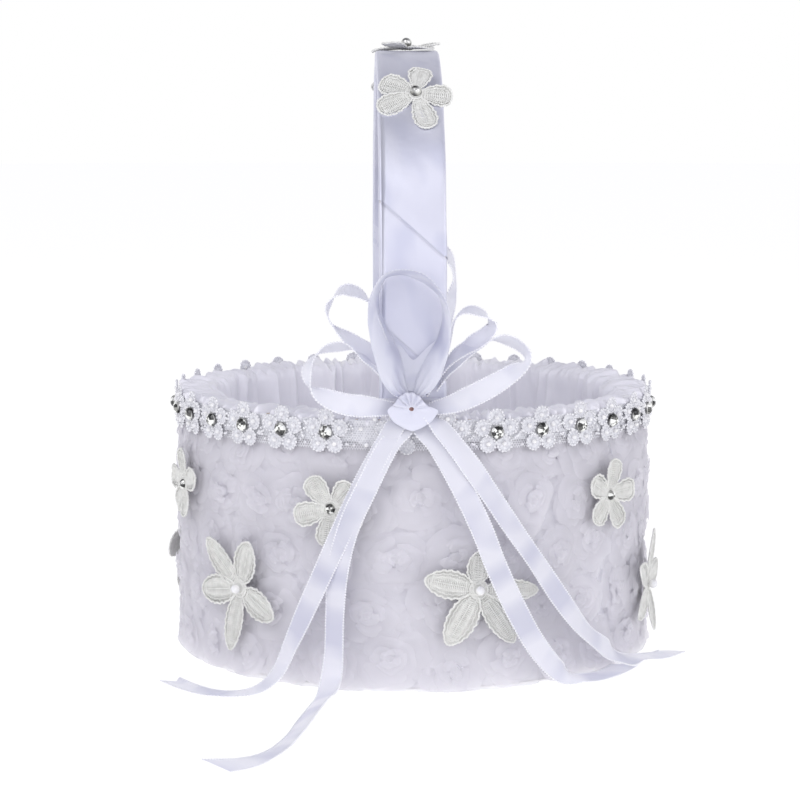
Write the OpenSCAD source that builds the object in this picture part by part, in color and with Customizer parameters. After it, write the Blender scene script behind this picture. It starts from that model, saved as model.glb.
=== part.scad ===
// Flower girl basket: a round paperboard basket under a skin of chiffon rosettes,
// with a satin lining, a beaded trim, lace flowers, a satin-wrapped arch handle
// and a satin bow. Millimetres, +Z up, origin at the centre of the underside.

/* [Basket] */
// Height of the satin rim above the table
rim_h = 127; // [110:1:150]
// Outer radius of the paperboard wall
wall_r = 113.4; // [113:0.1:114]
// Thickness of the paperboard wall
wall_t = 2; // [1.2:0.1:2]
// Thickness of the satin lining
lining_t = 2; // [1:0.1:2]

/* [Handle] */
// Height of the top of the arch above the table
handle_top = 294; // [270:1:330]
// Width of the wrapped band
handle_w = 30.8; // [24:0.1:31]
// Thickness of the band's core
handle_t = 2.6; // [1.5:0.1:2.8]
// Thickness of the satin wrapped round the core
wrap_t = 0.5; // [0.3:0.1:0.6]
// Turn of the hand-set handle about its front leg, in degrees
handle_turn = 1.8; // [0:0.1:2]

/* [Rosettes] */
// Rosettes in one row
rosette_count = 28; // [20:1:28]
// Radius of one rosette
rosette_r = 12; // [9:0.5:12]
// Height between rows
row_pitch = 24.2; // [24.2:0.1:24.5]

/* [Beaded trim] */
// Flowers along the trim
trim_count = 32; // [24:1:32]
// Angle from one flower to the next, in degrees
trim_step = 11.1; // [11:0.05:11.15]
// Angle of the first flower, in degrees from the front
trim_start = 7.6; // [7:0.1:8]
// Radius of a rhinestone
stone_r = 3; // [2:0.1:3]

/* [Lace flowers] */
// Reach of a long petal
long_petal = 29; // [20:1:30]
// Reach of a round petal
round_petal = 17; // [12:1:17]

/* [Ribbon] */
// Width of the narrow satin ribbon
ribbon_w = 10; // [6:1:12]
// Thickness of the satin ribbon
ribbon_t = 0.5; // [0.3:0.1:0.6]
// Sections between two control points of a ribbon
ribbon_steps = 4; // [2:1:5]

/* [Hidden] */
$fn = 96;
gap = 0.1;                       // clearance between two layers of the skin
board_t = 2;                     // base board
cover_t = 0.8;                   // satin under the base board
floor_z = cover_t + gap + board_t;
inner_r = wall_r - wall_t;
cover_r = wall_r + gap;          // satin sleeve outside the wall
cover_out = cover_r + 0.6;
tulle_r = cover_out + gap;
tulle_out = tulle_r + 0.4;
skin_r = tulle_out + gap;        // rosettes are sewn on here
lining_r = 103.6;
flange_t = 1.4;
roll_r = 1.8;                    // padded roll at the outer edge of the rim
handle_r = 107;                  // middle of the band, from the axis
core_w = handle_w - 2 * wrap_t;
arch_out = handle_r + handle_t / 2 + wrap_t;
arch_z = handle_top - arch_out;
leg_foot = 14;                   // the legs reach down inside the wall to here
wrap_foot = 24;                  // the wrap stops here
trim_z = rim_h - 7;
tape_r = 117.3;
tape_t = 0.5;
loop_r = 3.9;                    // a beaded petal of the trim
loop_at = 6.3;
loop_t = 1.4;
trim_pearl_r = 1.15;
cup_t = 1.2;
stone_h = 1.8;
lace_r = 121;
lace_t = 1;
lace_pearl_r = 2.2;
bead_r = 2.6;
long_az = [-42, 14.4, 73, 135, 195, 255];
round_az = [-66, -18, 50, 110, 170, 230];
long_z = [42.5, 48, 33, 45, 45, 45];
round_z = 85;
row_z = 13;                      // middle of the lowest row of rosettes
row_count = 5;
arch_flower = [52, 90, 126];     // places along the arch, in degrees from the front
arch_side = [2.4, 0, 0];         // and how far right of the middle of the band each one sits
knot_z = 131.5;
knot_y = -117.6;
knot_t = 2.4;
knot_r = 6.5;
pin_r = 0.45;
band_t = 0.8;

// Ribbon rows: a point on the middle line, then the direction of the ribbon's width.
WIDE_LOOP = [[-3.2, -117.3, 137.9, -3.4, -3.5, -1.6], [-5.9, -118.5, 141.4, -7.8, -9, -1.6],
    [-8.9, -121, 148.3, -10.6, -16, -0.3], [-12.1, -124.1, 156.7, -10.7, -23.8, 4.1],
    [-15.3, -126.3, 165.9, -8.9, -29.4, 6.2], [-17.3, -127.6, 175, -5.6, -32.8, 8],
    [-16.9, -128.5, 183.7, -1.8, -35, 8.2], [-12.8, -129, 191.5, 0.5, -36, 5.3],
    [-4.9, -129, 193.9, 0.2, -36, 5.2], [4, -129, 191.4, 1.6, -36, 5.9],
    [11, -128.5, 184.8, 1.6, -35, 4.1], [14.4, -127.5, 177.5, 2.2, -33, 2.2],
    [14.8, -126.1, 169.3, 3.8, -29.8, 0.3], [13, -123.8, 159.5, 5.1, -24.4, -3.1],
    [9.3, -120.6, 150.8, 6.4, -16.8, -7], [5.6, -118, 144.1, 6, -10, -7.8],
    [2.1, -117.3, 137.9, 4.1, -3.5, -1.6]];
LOOP_LEFT_UPPER = [[-5, -113.5, 139, 1, 8, 3], [-14, -114, 152, 0, 6, 8],
    [-26, -116, 161, -1, 7, 7], [-36, -119, 169, -3, 9, 3], [-38, -120, 178, 2, 10, 0],
    [-31, -119, 185, 1, 9, 4], [-22, -117, 182.5, -2, 9, 4], [-17, -114, 174, -2, 9, 1],
    [-9, -112.5, 152, -2, 8, 1], [-4, -112.2, 142, -1, 8, 1]];
LOOP_LEFT_LOWER = [[-7.5, -115, 131, 1, 3, 9], [-17, -120, 132.5, 0, 3, 9],
    [-32, -126, 135, -1, 4, 9], [-44, -127, 141, -4, 8, 6], [-47.5, -124, 150, -4, 9, 0],
    [-42, -121, 157.5, -3, 9, -4], [-32, -119, 159.5, -1, 9, -5], [-21, -117, 154.5, -3, 7, 6],
    [-12, -114.5, 144, -3, 7, 5], [-6, -113, 136.5, -2, 6, 4]];
LOOP_RIGHT_UPPER = [[9, -103.5, 140, 2, 9, 0], [14, -102.5, 160, 3, 9, 1],
    [17, -101, 178, 5, 8, 1], [19, -100, 190, 1, 10, 1], [15.5, -99, 200, 2, 9, 4],
    [7, -98, 206, 0, 9, 3], [-3, -97, 203, 0, 9, 2], [-7, -98, 188, 1, 10, 0],
    [-3, -100, 160, 2, 9, 0], [2, -103, 140, 2, 9, 0]];
LOOP_RIGHT_MIDDLE = [[7, -113.2, 139, 1, 8, 2], [14.5, -113.2, 155, 2, 9, -1],
    [18.5, -114, 170.5, 1, 9, 0], [24, -116, 176, 1, 9, 2], [31, -118, 174.5, -1, 9, 3],
    [35.5, -119, 169.5, -4, 9, 1], [32, -118.5, 164.5, -2, 7, 5], [26, -117.5, 160, 0, 6, 8],
    [21, -115, 154.5, 1, 6, 8], [16, -113.2, 147.5, 1, 7, 4], [11, -112.2, 139, 1, 8, 1]];
LOOP_RIGHT_LOWER = [[7.5, -115, 131, -1, 3, 9], [18, -120, 134, -1, 3, 9],
    [32, -125, 141, -3, 4, 9], [44, -127, 148.5, -3, 7, 6], [51, -125, 154, -2, 10, 0],
    [49.5, -122, 159, -2, 9, -4], [41, -120, 163, -1, 9, -5], [29, -118, 161, 0, 9, 4],
    [19, -116, 155.5, 2, 7, 6], [11, -114, 145, 2, 7, 5], [6, -113, 137, 1, 6, 4]];
TAIL_LEFT_INNER = [[-3, -118.6, 131, 8, -2, 4], [-6, -121.5, 126, 9, -1, 3],
    [-12, -124.5, 114, 9, -2, 3], [-21, -125, 96, 9, -2, 4], [-29, -123, 78, 9, -3, 3],
    [-34, -121.5, 58, 9, -3, 1], [-35.5, -121.5, 38, 8, -5, 1], [-36, -123, 20, 8, -5, 0],
    [-37, -127, 9.5, 9, -3, 1], [-39, -135, 3.6, 9, -2, 3], [-42, -147, 2.8, 8, -2, 4],
    [-46, -170, 2.8, 8, -2, 4], [-50, -195, 2.8, 8, -3, 4], [-57, -218, 2, 8, -6, 2],
    [-68, -233, 1.6, 5, -9, -1.5], [-84, -241, 2.4, 3, -9, -3.5]];
TAIL_LEFT_OUTER = [[-4, -118.2, 130, 8, -2, 4], [-8, -121, 124, 9, -2, 4],
    [-16, -123.5, 110, 9, -3, 4], [-25, -123, 92, 9, -3, 4], [-33, -121.5, 74, 9, -3, 4],
    [-41, -119.5, 56, 8, -4, 4], [-49, -117, 38, 8, -5, 4], [-56, -115.5, 22, 7, -6, 4],
    [-62, -117, 9, 6, -8, 1], [-70, -120, 2.2, 5, -9, 0], [-80, -124, 0.8, 3, -10, 0],
    [-93, -122, 0.8, -1, -10, 0], [-105, -111, 0.8, -6, -8, 0], [-114, -98, 0.8, -8, -6, 0]];
TAIL_RIGHT_INNER = [[3, -118.6, 131, 8, 2, -4], [6, -121.5, 126, 9, 1, -3],
    [13, -125, 113, 9, 2, -3], [22.5, -126, 96, 9, 2, -4], [31, -126, 78, 9, 2, -3],
    [38, -125, 60, 9, 3, -3], [46.5, -122, 41, 9, 3, -4], [56, -117.5, 23, 8, 4, -5],
    [66, -111, 9.5, 7, 6, -3], [74, -104.5, 3.8, 5, 8, -1.5], [82.5, -97.5, 1.6, -5, 8, 1.5],
    [91.5, -89.5, 1.2, -7, 7, 0.7], [98.5, -79.5, 1.3, -8, 5, 1], [104, -68.5, 1.5, -8.5, 4, 1.5]];
TAIL_RIGHT_OUTER = [[4.5, -118.2, 130, 8, 2, -4], [10, -121, 124, 8, 2, -4],
    [20, -123, 111, 8, 3, -5], [32, -122, 96, 8, 4, -5], [44, -118.5, 79, 7, 4, -5],
    [56, -113.5, 61, 7, 5, -5], [68, -107, 42, 7, 5, -5], [80, -99, 25, 6, 6, -5],
    [92, -89, 13, 6, 7, -4], [101, -78, 5.6, -5, 5, 4], [108.5, -64, 3, -7, 5, 1],
    [119, -55.5, 1.3, -6.5, 7, 0.7], [124.5, -49, 1.1, -7, 6, 0.7], [130, -41.5, 1, -8, 3, 0.5]];

satin = "lavender";
chiffon = "white";
lace = "ivory";
silver = "silver";

// Places a shape drawn in the XY plane, facing +Z, on the wall at an angle and height
module on_wall(az, r, z) rotate([0, 0, az]) translate([0, -r, z]) rotate([90, 0, 0]) children();

// Puts the children in the frame of the hand-set handle, turned about its front leg
module on_handle() translate([0, -handle_r, 0]) rotate([0, 0, handle_turn])
    translate([0, handle_r, 0]) children();

// Places a shape that faces +Z on the outside of the arch
module on_arch(angle) on_handle() translate([0, 0, arch_z]) rotate([90 - angle, 0, 0])
    translate([0, 0, arch_out]) children();

module ring(r_out, r_in, z0, z1) translate([0, 0, z0]) difference() {
    cylinder(r = r_out, h = z1 - z0);
    translate([0, 0, -1]) cylinder(r = r_in, h = z1 - z0 + 2);
}

// A flat band bent into an arch with two straight legs
module arch(width, thick, foot) {
    translate([0, 0, arch_z]) rotate([90, 0, 90]) rotate_extrude(angle = 180)
        translate([handle_r - thick / 2, -width / 2]) square([thick, width]);
    for (side = [-1, 1]) translate([-width / 2, side * handle_r - thick / 2, foot])
        cube([width, thick, arch_z - foot]);
}

// Basket body
module base_cover() color(satin) cylinder(r = wall_r, h = cover_t);
module base_board() color("tan") translate([0, 0, cover_t + gap]) cylinder(r = wall_r, h = board_t);
module wall_core() color("tan") ring(wall_r, inner_r, floor_z, rim_h - flange_t - gap);
module satin_sleeve() color(satin) ring(cover_out, cover_r, 1, rim_h - 5);
module net_skin() color(chiffon) ring(tulle_out, tulle_r, 1, rim_h - 5);

module floor_pad() color(satin) rotate_extrude() {
    square_r = lining_r - lining_t - 4;
    translate([0, floor_z]) square([square_r, 5]);
    translate([0, floor_z]) square([square_r + 2.5, 2.5]);
    translate([square_r, floor_z + 2.5]) circle(r = 2.5, $fn = 32);
}

module lining() color(satin) difference() {
    union() {
        ring(lining_r, lining_r - lining_t, floor_z, rim_h);
        ring(wall_r, lining_r - lining_t, rim_h - flange_t, rim_h);
    }
    on_handle() for (side = [-1, 1])
        translate([-handle_w / 2 - 0.3, side * handle_r - handle_t / 2 - wrap_t - 0.3, rim_h - 5])
            cube([handle_w + 0.6, handle_t + 2 * wrap_t + 0.6, 10]);
}

module rim_roll() color(satin) rotate_extrude()
    translate([wall_r + gap + roll_r, rim_h - roll_r]) circle(r = roll_r, $fn = 32);

// Rosettes: a stepped dome for each spiral of chiffon
module rosette(height) rotate_extrude($fn = 48) polygon([[0, 0], [rosette_r, 0],
    [rosette_r - 0.6, height * 0.4], [rosette_r * 0.78, height * 0.55],
    [rosette_r * 0.72, height * 0.46], [rosette_r * 0.52, height * 0.8],
    [rosette_r * 0.46, height * 0.7], [rosette_r * 0.22, height], [0, height * 0.94]]);

module rosette_row(row) color(chiffon) {
    step = 360 / rosette_count;
    height = row == row_count - 1 ? 2.4 : 5.4;
    for (i = [0 : rosette_count - 1])
        on_wall((i + (row % 2) / 2) * step - 4, skin_r, row_z + row * row_pitch) rosette(height);
}

// Beaded trim
module trim_places() for (i = [0 : trim_count - 1]) rotate([0, 0, trim_start + i * trim_step])
    translate([0, 0, trim_z]) children();
module facing_out(r) translate([0, -r, 0]) rotate([90, 0, 0]) children();

module trim_tape() color(chiffon) ring(tape_r + tape_t, tape_r, trim_z - 8.5, trim_z + 8);

module trim_petals() color("white") trim_places() facing_out(tape_r + tape_t + gap)
    linear_extrude(loop_t) {
        difference() {
            circle(r = stone_r + 0.8, $fn = 32);
            circle(r = stone_r - 1, $fn = 32);
        }
        for (k = [0 : 4]) rotate(90 + 72 * k) translate([loop_at, 0]) difference() {
            circle(r = loop_r, $fn = 32);
            circle(r = loop_r - 1.5, $fn = 32);
            translate([-loop_at, 0]) circle(r = stone_r + 0.2, $fn = 32);
        }
    }

module trim_pearls() color("white") trim_places() for (k = [0 : 4])
    facing_out(tape_r + tape_t + trim_pearl_r) rotate(90 + 72 * k) translate([loop_at + 0.4, 0, 0])
        sphere(r = trim_pearl_r, $fn = 24);

module trim_stone_cups() color(silver) trim_places()
    facing_out(tape_r + tape_t + gap + loop_t) cylinder(r = stone_r + 0.3, h = cup_t, $fn = 32);

module trim_stones() color("slategray") trim_places()
    facing_out(tape_r + tape_t + gap + loop_t + cup_t)
        cylinder(r1 = stone_r, r2 = stone_r * 0.6, h = stone_h, $fn = 32);

// Handle
module pin_hole() translate([0, -arch_out - 1, knot_z]) rotate([-90, 0, 0])
    cylinder(r = pin_r + 0.05, h = handle_t + 2 * wrap_t + 2, $fn = 24);

module handle_core() color("tan") difference() {
    on_handle() arch(core_w, handle_t, leg_foot);
    pin_hole();
}

module handle_wrap() color(satin) difference() {
    on_handle() arch(handle_w, handle_t + 2 * wrap_t, wrap_foot);
    on_handle() arch(core_w, handle_t, leg_foot - 1);
    pin_hole();
}

// Staples that hold the feet of the handle to the wall, below the end of the wrap
module handle_staples() color(silver) on_handle() for (side = [-1, 1]) for (x = [-7, 7])
    translate([x - 5, side * (handle_r - handle_t / 2 - 0.3) - 0.3, leg_foot + 5])
        cube([10, 0.6, 0.9]);

// Flowers of guipure lace
module long_flower() linear_extrude(lace_t) {
    circle(r = 4.5, $fn = 32);
    for (k = [0 : 4]) rotate(90 + 72 * k) translate([long_petal / 2 + 1, 0]) intersection() {
        translate([0, -11]) circle(r = 17.6, $fn = 64);
        translate([0, 11]) circle(r = 17.6, $fn = 64);
    }
}

module round_flower() linear_extrude(lace_t) {
    lobe_r = round_petal * 0.32;
    circle(r = 3.6, $fn = 32);
    for (k = [0 : 4]) rotate(90 + 72 * k) {
        translate([round_petal - lobe_r, 0]) circle(r = lobe_r, $fn = 32);
        polygon([[0, 0], [round_petal - lobe_r - 1.6, -lobe_r + 0.3],
            [round_petal - lobe_r - 1.6, lobe_r - 0.3]]);
    }
}

module lace_flower(i) color(lace) on_wall(long_az[i], lace_r, long_z[i])
    rotate(i * 24) long_flower();
module lace_bloom(i) color(lace) on_wall(round_az[i], lace_r, round_z)
    rotate(i * 31) round_flower();
module arch_bloom(i) color(lace) on_arch(arch_flower[i]) translate([arch_side[i], 0, gap])
    rotate(i * 36) round_flower();

module handle_beads() color(silver) for (i = [0 : 2]) on_arch(arch_flower[i])
    translate([arch_side[i], 0, gap + lace_t + bead_r]) sphere(r = bead_r, $fn = 32);
module lace_pearls() color("white") for (i = [0 : 5]) on_wall(long_az[i], lace_r + lace_t, long_z[i])
    translate([0, 0, lace_pearl_r]) sphere(r = lace_pearl_r, $fn = 32);
module lace_stones() color("slategray") for (a = round_az) on_wall(a, lace_r + lace_t, round_z)
    cylinder(r1 = stone_r, r2 = stone_r * 0.6, h = stone_h, $fn = 32);

// Ribbons: a thin strip swept through its rows, with the width square to the way it runs
function catmull(a, b, c, d, t) = 0.5 * (2 * b + (c - a) * t + (2 * a - 5 * b + 4 * c - d) * t * t
    + (3 * b - a - 3 * c + d) * t * t * t);
function row_at(rows, i) = rows[max(0, min(len(rows) - 1, i))];
function smooth_rows(rows) = [for (i = [0 : len(rows) - 2]) for (k = [0 : ribbon_steps - 1])
    catmull(row_at(rows, i - 1), rows[i], rows[i + 1], row_at(rows, i + 2), k / ribbon_steps),
    rows[len(rows) - 1]];
function place(row) = [row[0], row[1], row[2]];
function across(row) = [row[3], row[4], row[5]];
function unit(v) = v / norm(v);
function tangent(rows, i) = unit(place(row_at(rows, i + 1)) - place(row_at(rows, i - 1)));
function width_dir(rows, i) = let (t = tangent(rows, i), w = across(rows[i]))
    unit(w - (w * t) * t);
function half_width(rows, i, width) = width > 0 ? width / 2 : norm(across(rows[i])) / 2;
// Share of the full width: a loop is gathered at the knot
function pinch(rows_from_end) = min(1, 0.5 + 0.35 * rows_from_end);

module ribbon(rows, width, pinched) {
    line = smooth_rows(rows);
    last = len(line) - 1;
    points = [for (i = [0 : last])
        let (narrow = pinched ? pinch(min(i, last - i) / ribbon_steps) : 1,
        w = width_dir(line, i) * half_width(line, i, width) * narrow,
        n = cross(tangent(line, i), width_dir(line, i)) * ribbon_t / 2, p = place(line[i]))
        each [p - w - n, p + w - n, p + w + n, p - w + n]];
    sides = [for (i = [0 : last - 1]) for (k = [0 : 3]) let (a = i * 4 + k,
        b = i * 4 + (k + 1) % 4) each [[a, b, b + 4], [a, b + 4, a + 4]]];
    ends = [[0, 3, 2], [0, 2, 1], [last * 4, last * 4 + 1, last * 4 + 2],
        [last * 4, last * 4 + 2, last * 4 + 3]];
    color(satin) polyhedron(points, concat(sides, ends));
}

// Knot, the band that ties the bow to the handle, and the pin through both
module bow_knot() color(satin) translate([0, knot_y, knot_z]) rotate([-90, 0, 0]) difference() {
    cylinder(r = knot_r, h = knot_t, $fn = 48);
    translate([0, 0, -1]) cylinder(r = pin_r + 0.05, h = knot_t + 2, $fn = 24);
}

module bow_band() color(satin) difference() {
    on_handle() translate([0, -handle_r, knot_z - 3.5]) {
        inner = [handle_w + 0.4, handle_t + 2 * wrap_t + 0.4, 9];
        difference() {
            translate([-inner.x / 2 - band_t, -inner.y / 2 - band_t, 0])
                cube([inner.x + 2 * band_t, inner.y + 2 * band_t, 7]);
            translate([-inner.x / 2, -inner.y / 2, -1]) cube(inner);
        }
    }
    translate([0, -arch_out - 5, knot_z]) rotate([-90, 0, 0])
        cylinder(r = pin_r + 0.05, h = 12, $fn = 24);
}

module bow_pin() color("rosybrown") translate([0, knot_y, knot_z]) rotate([-90, 0, 0]) {
    translate([0, 0, -0.9]) cylinder(r1 = 1, r2 = 1.3, h = 0.85, $fn = 32);
    translate([0, 0, -0.4]) cylinder(r = pin_r, h = 10, $fn = 24);
}

base_cover();
base_board();
wall_core();
satin_sleeve();
net_skin();
floor_pad();
lining();
rim_roll();
rosette_row(0);  // rosettes_row_1
rosette_row(1);  // rosettes_row_2
rosette_row(2);  // rosettes_row_3
rosette_row(3);  // rosettes_row_4
rosette_row(4);  // rosettes_row_5
trim_tape();
trim_petals();
trim_pearls();
trim_stone_cups();
trim_stones();
handle_core();
handle_wrap();
handle_staples();
arch_bloom(0);  // handle_flower_front
arch_bloom(1);  // handle_flower_top
arch_bloom(2);  // handle_flower_back
handle_beads();
lace_flower(0);  // lace_flower_front_left
lace_flower(1);  // lace_flower_front_right
lace_flower(2);  // lace_flower_right
lace_flower(3);  // lace_flower_back_right
lace_flower(4);  // lace_flower_back_left
lace_flower(5);  // lace_flower_left
lace_bloom(0);  // lace_bloom_left
lace_bloom(1);  // lace_bloom_front_left
lace_bloom(2);  // lace_bloom_front_right
lace_bloom(3);  // lace_bloom_right
lace_bloom(4);  // lace_bloom_back
lace_bloom(5);  // lace_bloom_back_left
lace_pearls();
lace_stones();
ribbon(WIDE_LOOP, 0, false);  // wide_loop
ribbon(LOOP_LEFT_UPPER, ribbon_w, true);  // loop_left_upper
ribbon(LOOP_LEFT_LOWER, ribbon_w, true);  // loop_left_lower
ribbon(LOOP_RIGHT_UPPER, ribbon_w, true);  // loop_right_upper
ribbon(LOOP_RIGHT_MIDDLE, ribbon_w, true);  // loop_right_middle
ribbon(LOOP_RIGHT_LOWER, ribbon_w, true);  // loop_right_lower
ribbon(TAIL_LEFT_INNER, ribbon_w, false);  // tail_left_inner
ribbon(TAIL_LEFT_OUTER, ribbon_w, false);  // tail_left_outer
ribbon(TAIL_RIGHT_INNER, ribbon_w, false);  // tail_right_inner
ribbon(TAIL_RIGHT_OUTER, ribbon_w, false);  // tail_right_outer
bow_knot();
bow_band();
bow_pin();
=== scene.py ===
import math

import bpy
import numpy as np
from mathutils import Euler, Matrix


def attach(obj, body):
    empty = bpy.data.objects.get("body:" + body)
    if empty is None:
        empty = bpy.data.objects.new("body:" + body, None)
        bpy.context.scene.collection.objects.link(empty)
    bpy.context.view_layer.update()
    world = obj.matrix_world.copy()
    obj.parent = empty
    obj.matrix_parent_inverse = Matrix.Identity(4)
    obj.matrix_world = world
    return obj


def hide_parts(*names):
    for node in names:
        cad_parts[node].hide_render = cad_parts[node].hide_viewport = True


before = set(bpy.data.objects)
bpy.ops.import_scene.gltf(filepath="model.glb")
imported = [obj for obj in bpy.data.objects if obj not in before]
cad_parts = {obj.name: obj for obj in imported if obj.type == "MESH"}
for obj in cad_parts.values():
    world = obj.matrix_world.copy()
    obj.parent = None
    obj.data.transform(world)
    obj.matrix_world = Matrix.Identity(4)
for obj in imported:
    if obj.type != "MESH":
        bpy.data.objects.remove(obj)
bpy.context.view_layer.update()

MM = 0.001
TAU = 2 * math.pi

# ---------------------------------------------------------------- measures, in millimetres
RIM_Z = 127.0
# Radius and height from the floor up the wall, over the rim and down outside it
LINING_PROFILE = np.array([[96.8, 3.5], [99.8, 5.6], [101.4, 9.5], [101.7, 30], [101.7, 60],
    [101.4, 90], [101.5, 110], [101.8, 119], [102.2, 124.2], [103.8, 126.8], [106.5, 127.3],
    [109.5, 127.2], [112.6, 127.0], [115.2, 126.8], [116.7, 125.7], [117.0, 124.2],
    [116.5, 122.6], [115.6, 121.4]])
RIM_ROW = 8                      # the profile's row where the rim starts
PAD_R, COVER_R = 98.0, 114.0
SLEEVE_R = 113.95
WALL_TOP = 122.0                 # where the cloth outside the wall goes under the rim
NET_R = 114.5
SKIN_R = 114.7
ROSETTES = 28
ROSETTE_AZ = -4.0
ROW_Z, ROW_PITCH, ROWS = 13.0, 24.2, 5
# Each ring of petals in a rosette: their number, half angle, inner and outer radius, height of
# root and tip, and how far they stand up
PETAL_LAYERS = [(4, 1.12, 7.0, 17.6, 0.6, 2.2, 0.0), (3, 1.3, 4.6, 13.4, 1.2, 3.5, 0.1),
    (3, 1.2, 3.0, 9.2, 2.0, 4.2, 0.3), (2, 1.5, 1.2, 5.4, 2.8, 5.0, 0.5)]
TAPE_R = 117.8
TRIM_COUNT, TRIM_STEP, TRIM_START, TRIM_Z = 32, 11.1, 7.6, 120.0
UNDER_BOW = 5.0  # degrees: the last trim flower is pushed under the tails, as in the photo
LOOP_AT, LOOP_R, BEAD_R, RING_BEADS = 6.3, 3.5, 0.66, 14
STONE_R, STONE_H = 3.0, 1.8
SIDE_REFLECTIONS = [0.05, 0.1, 0.2, 0.4, 0.6, 0.8, 0.9, 0.95]     # painted reflections, light and dark: one for each eighth of a stone
# Painted reflections on the table facets, one for each eighth of a stone
TABLE_REFLECTIONS = [0.05, 0.1, 0.35, 0.6, 0.6, 0.9, 0.9, 0.95]
# A stone's cup: shares of its radius and height
CUP_WALL = np.array([[0.86, 0.0], [1.02, 0.0], [1.05, 0.7], [1.0, 0.85], [0.94, 0.8], [0.9, 0.5]])
LACE_R, LACE_DROOP = 121.0, 0.8   # petals follow this share of the wall's curve
LONG_AZ, LONG_Z = [-42, 14.4, 73, 135, 195, 255], [42.5, 48, 33, 45, 45, 45]
ROUND_AZ, ROUND_Z = [-66, -18, 50, 110, 170, 230], 85.0
HANDLE_R, HANDLE_W, HANDLE_T = 107.0, 30.8, 3.6
ARCH_OUT = HANDLE_R + HANDLE_T / 2
ARCH_Z = 294.0 - ARCH_OUT
HANDLE_TURN = math.radians(1.8)
WRAP_FOOT, WRAP_ROUND = 24.0, 1.5  # height of the wrap's ends, and its corner radius
WRAP_STRIP = 66.8                # one turn of the wrap, from its own edge to under the next
WRAP_SEAM = 200.4                # a seam's place along the band, from its front foot
ARCH_FLOWERS = [52, 90, 126]
ARCH_SIDE = [2.4, 0.0, 0.0]
ARCH_TIP = [24.0, 0.0, 0.0]       # how far a flower is tipped towards the front
# Each petal of a handle flower: its direction in degrees, its length, how far its tip bends out
ARCH_PETALS = [[(78, 16.5, -6), (156, 18, -3), (210, 20, 2.8), (286, 21.5, 5.4), (352, 17, 0.5)],
    [(20, 17, 3.4), (95, 16.5, 1.6), (170, 17, -0.4), (235, 16.5, 2.8), (310, 17, 0.2)],
    [(60, 17, 2.0), (128, 16.5, 0.8), (200, 17, 1.6), (272, 16.5, 1.2), (345, 17, 2.2)]]
KNOT_Z, KNOT_TOP, KNOT_FOOT = 131.5, 139.0, 122.3
RIBBON_W = 10.0
CUT_REACH = 26.0                 # how much of a tail is drawn in for the cut of its end
PICOT_STEP = 1.3                 # from one loop of a ribbon's edge to the next

# Ribbon rows: a point on the middle line, then the direction of the ribbon's width
WIDE_LOOP = [[-3.2, -117.3, 137.9, -3.4, -3.5, -1.6], [-5.9, -118.5, 141.4, -7.8, -9, -1.6],
    [-8.9, -121, 148.3, -10.6, -16, -0.3], [-12.1, -124.1, 156.7, -10.7, -23.8, 4.1],
    [-15.3, -126.3, 165.9, -8.9, -29.4, 6.2], [-17.3, -127.6, 175, -5.6, -32.8, 8],
    [-16.9, -128.5, 183.7, -1.8, -35, 8.2], [-12.8, -129, 191.5, 0.5, -36, 5.3],
    [-4.9, -129, 193.9, 0.2, -36, 5.2], [4, -129, 191.4, 1.6, -36, 5.9],
    [11, -128.5, 184.8, 1.6, -35, 4.1], [14.4, -127.5, 177.5, 2.2, -33, 2.2],
    [14.8, -126.1, 169.3, 3.8, -29.8, 0.3], [13, -123.8, 159.5, 5.1, -24.4, -3.1],
    [9.3, -120.6, 150.8, 6.4, -16.8, -7], [5.6, -118, 144.1, 6, -10, -7.8],
    [2.1, -117.3, 137.9, 4.1, -3.5, -1.6]]
LOOPS = {
    "loop_left_upper": [[-5, -113.5, 139, 1, 8, 3], [-14, -114, 152, 0, 6, 8],
        [-26, -116, 161, -1, 7, 7], [-36, -119, 169, -3, 9, 3], [-38, -120, 178, 2, 10, 0],
        [-31, -119, 185, 1, 9, 4], [-22, -117, 182.5, -2, 9, 4], [-17, -114, 174, -2, 9, 1],
        [-9, -112.5, 152, -2, 8, 1], [-4, -112.2, 142, -1, 8, 1]],
    "loop_left_lower": [[-7.5, -115, 131, 1, 3, 9], [-17, -120, 132.5, 0, 3, 9],
        [-32, -126, 135, -1, 4, 9], [-44, -127, 141, -4, 8, 6], [-47.5, -124, 150, -4, 9, 0],
        [-42, -121, 157.5, -3, 9, -4], [-32, -119, 159.5, -1, 9, -5], [-21, -117, 154.5, -3, 7, 6],
        [-12, -114.5, 144, -3, 7, 5], [-6, -113, 136.5, -2, 6, 4]],
    "loop_right_upper": [[9, -103.5, 140, 2, 9, 0], [14, -102.5, 160, 3, 9, 1], [17, -101, 178, 5, 8, 1],
        [19, -100, 190, 1, 10, 1], [15.5, -99, 200, 2, 9, 4], [7, -98, 206, 0, 9, 3],
        [-3, -97, 203, 0, 9, 2], [-7, -98, 188, 1, 10, 0], [-3, -100, 160, 2, 9, 0],
        [2, -103, 140, 2, 9, 0]],
    "loop_right_middle": [[7, -113.2, 139, 1, 8, 2], [14.5, -113.2, 155, 2, 9, -1],
        [18.5, -114, 170.5, 1, 9, 0], [24, -116, 176, 1, 9, 2], [31, -118, 174.5, -1, 9, 3],
        [35.5, -119, 169.5, -4, 9, 1], [32, -118.5, 164.5, -2, 7, 5], [26, -117.5, 160, 0, 6, 8],
        [21, -115, 154.5, 1, 6, 8], [16, -113.2, 147.5, 1, 7, 4], [11, -112.2, 139, 1, 8, 1]],
    "loop_right_lower": [[7.5, -115, 131, -1, 3, 9], [18, -120, 134, -1, 3, 9],
        [32, -125, 141, -3, 4, 9], [44, -127, 148.5, -3, 7, 6], [51, -125, 154, -2, 10, 0],
        [49.5, -122, 159, -2, 9, -4], [41, -120, 163, -1, 9, -5], [29, -118, 161, 0, 9, 4],
        [19, -116, 155.5, 2, 7, 6], [11, -114, 145, 2, 7, 5], [6, -113, 137, 1, 6, 4]],
}
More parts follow.
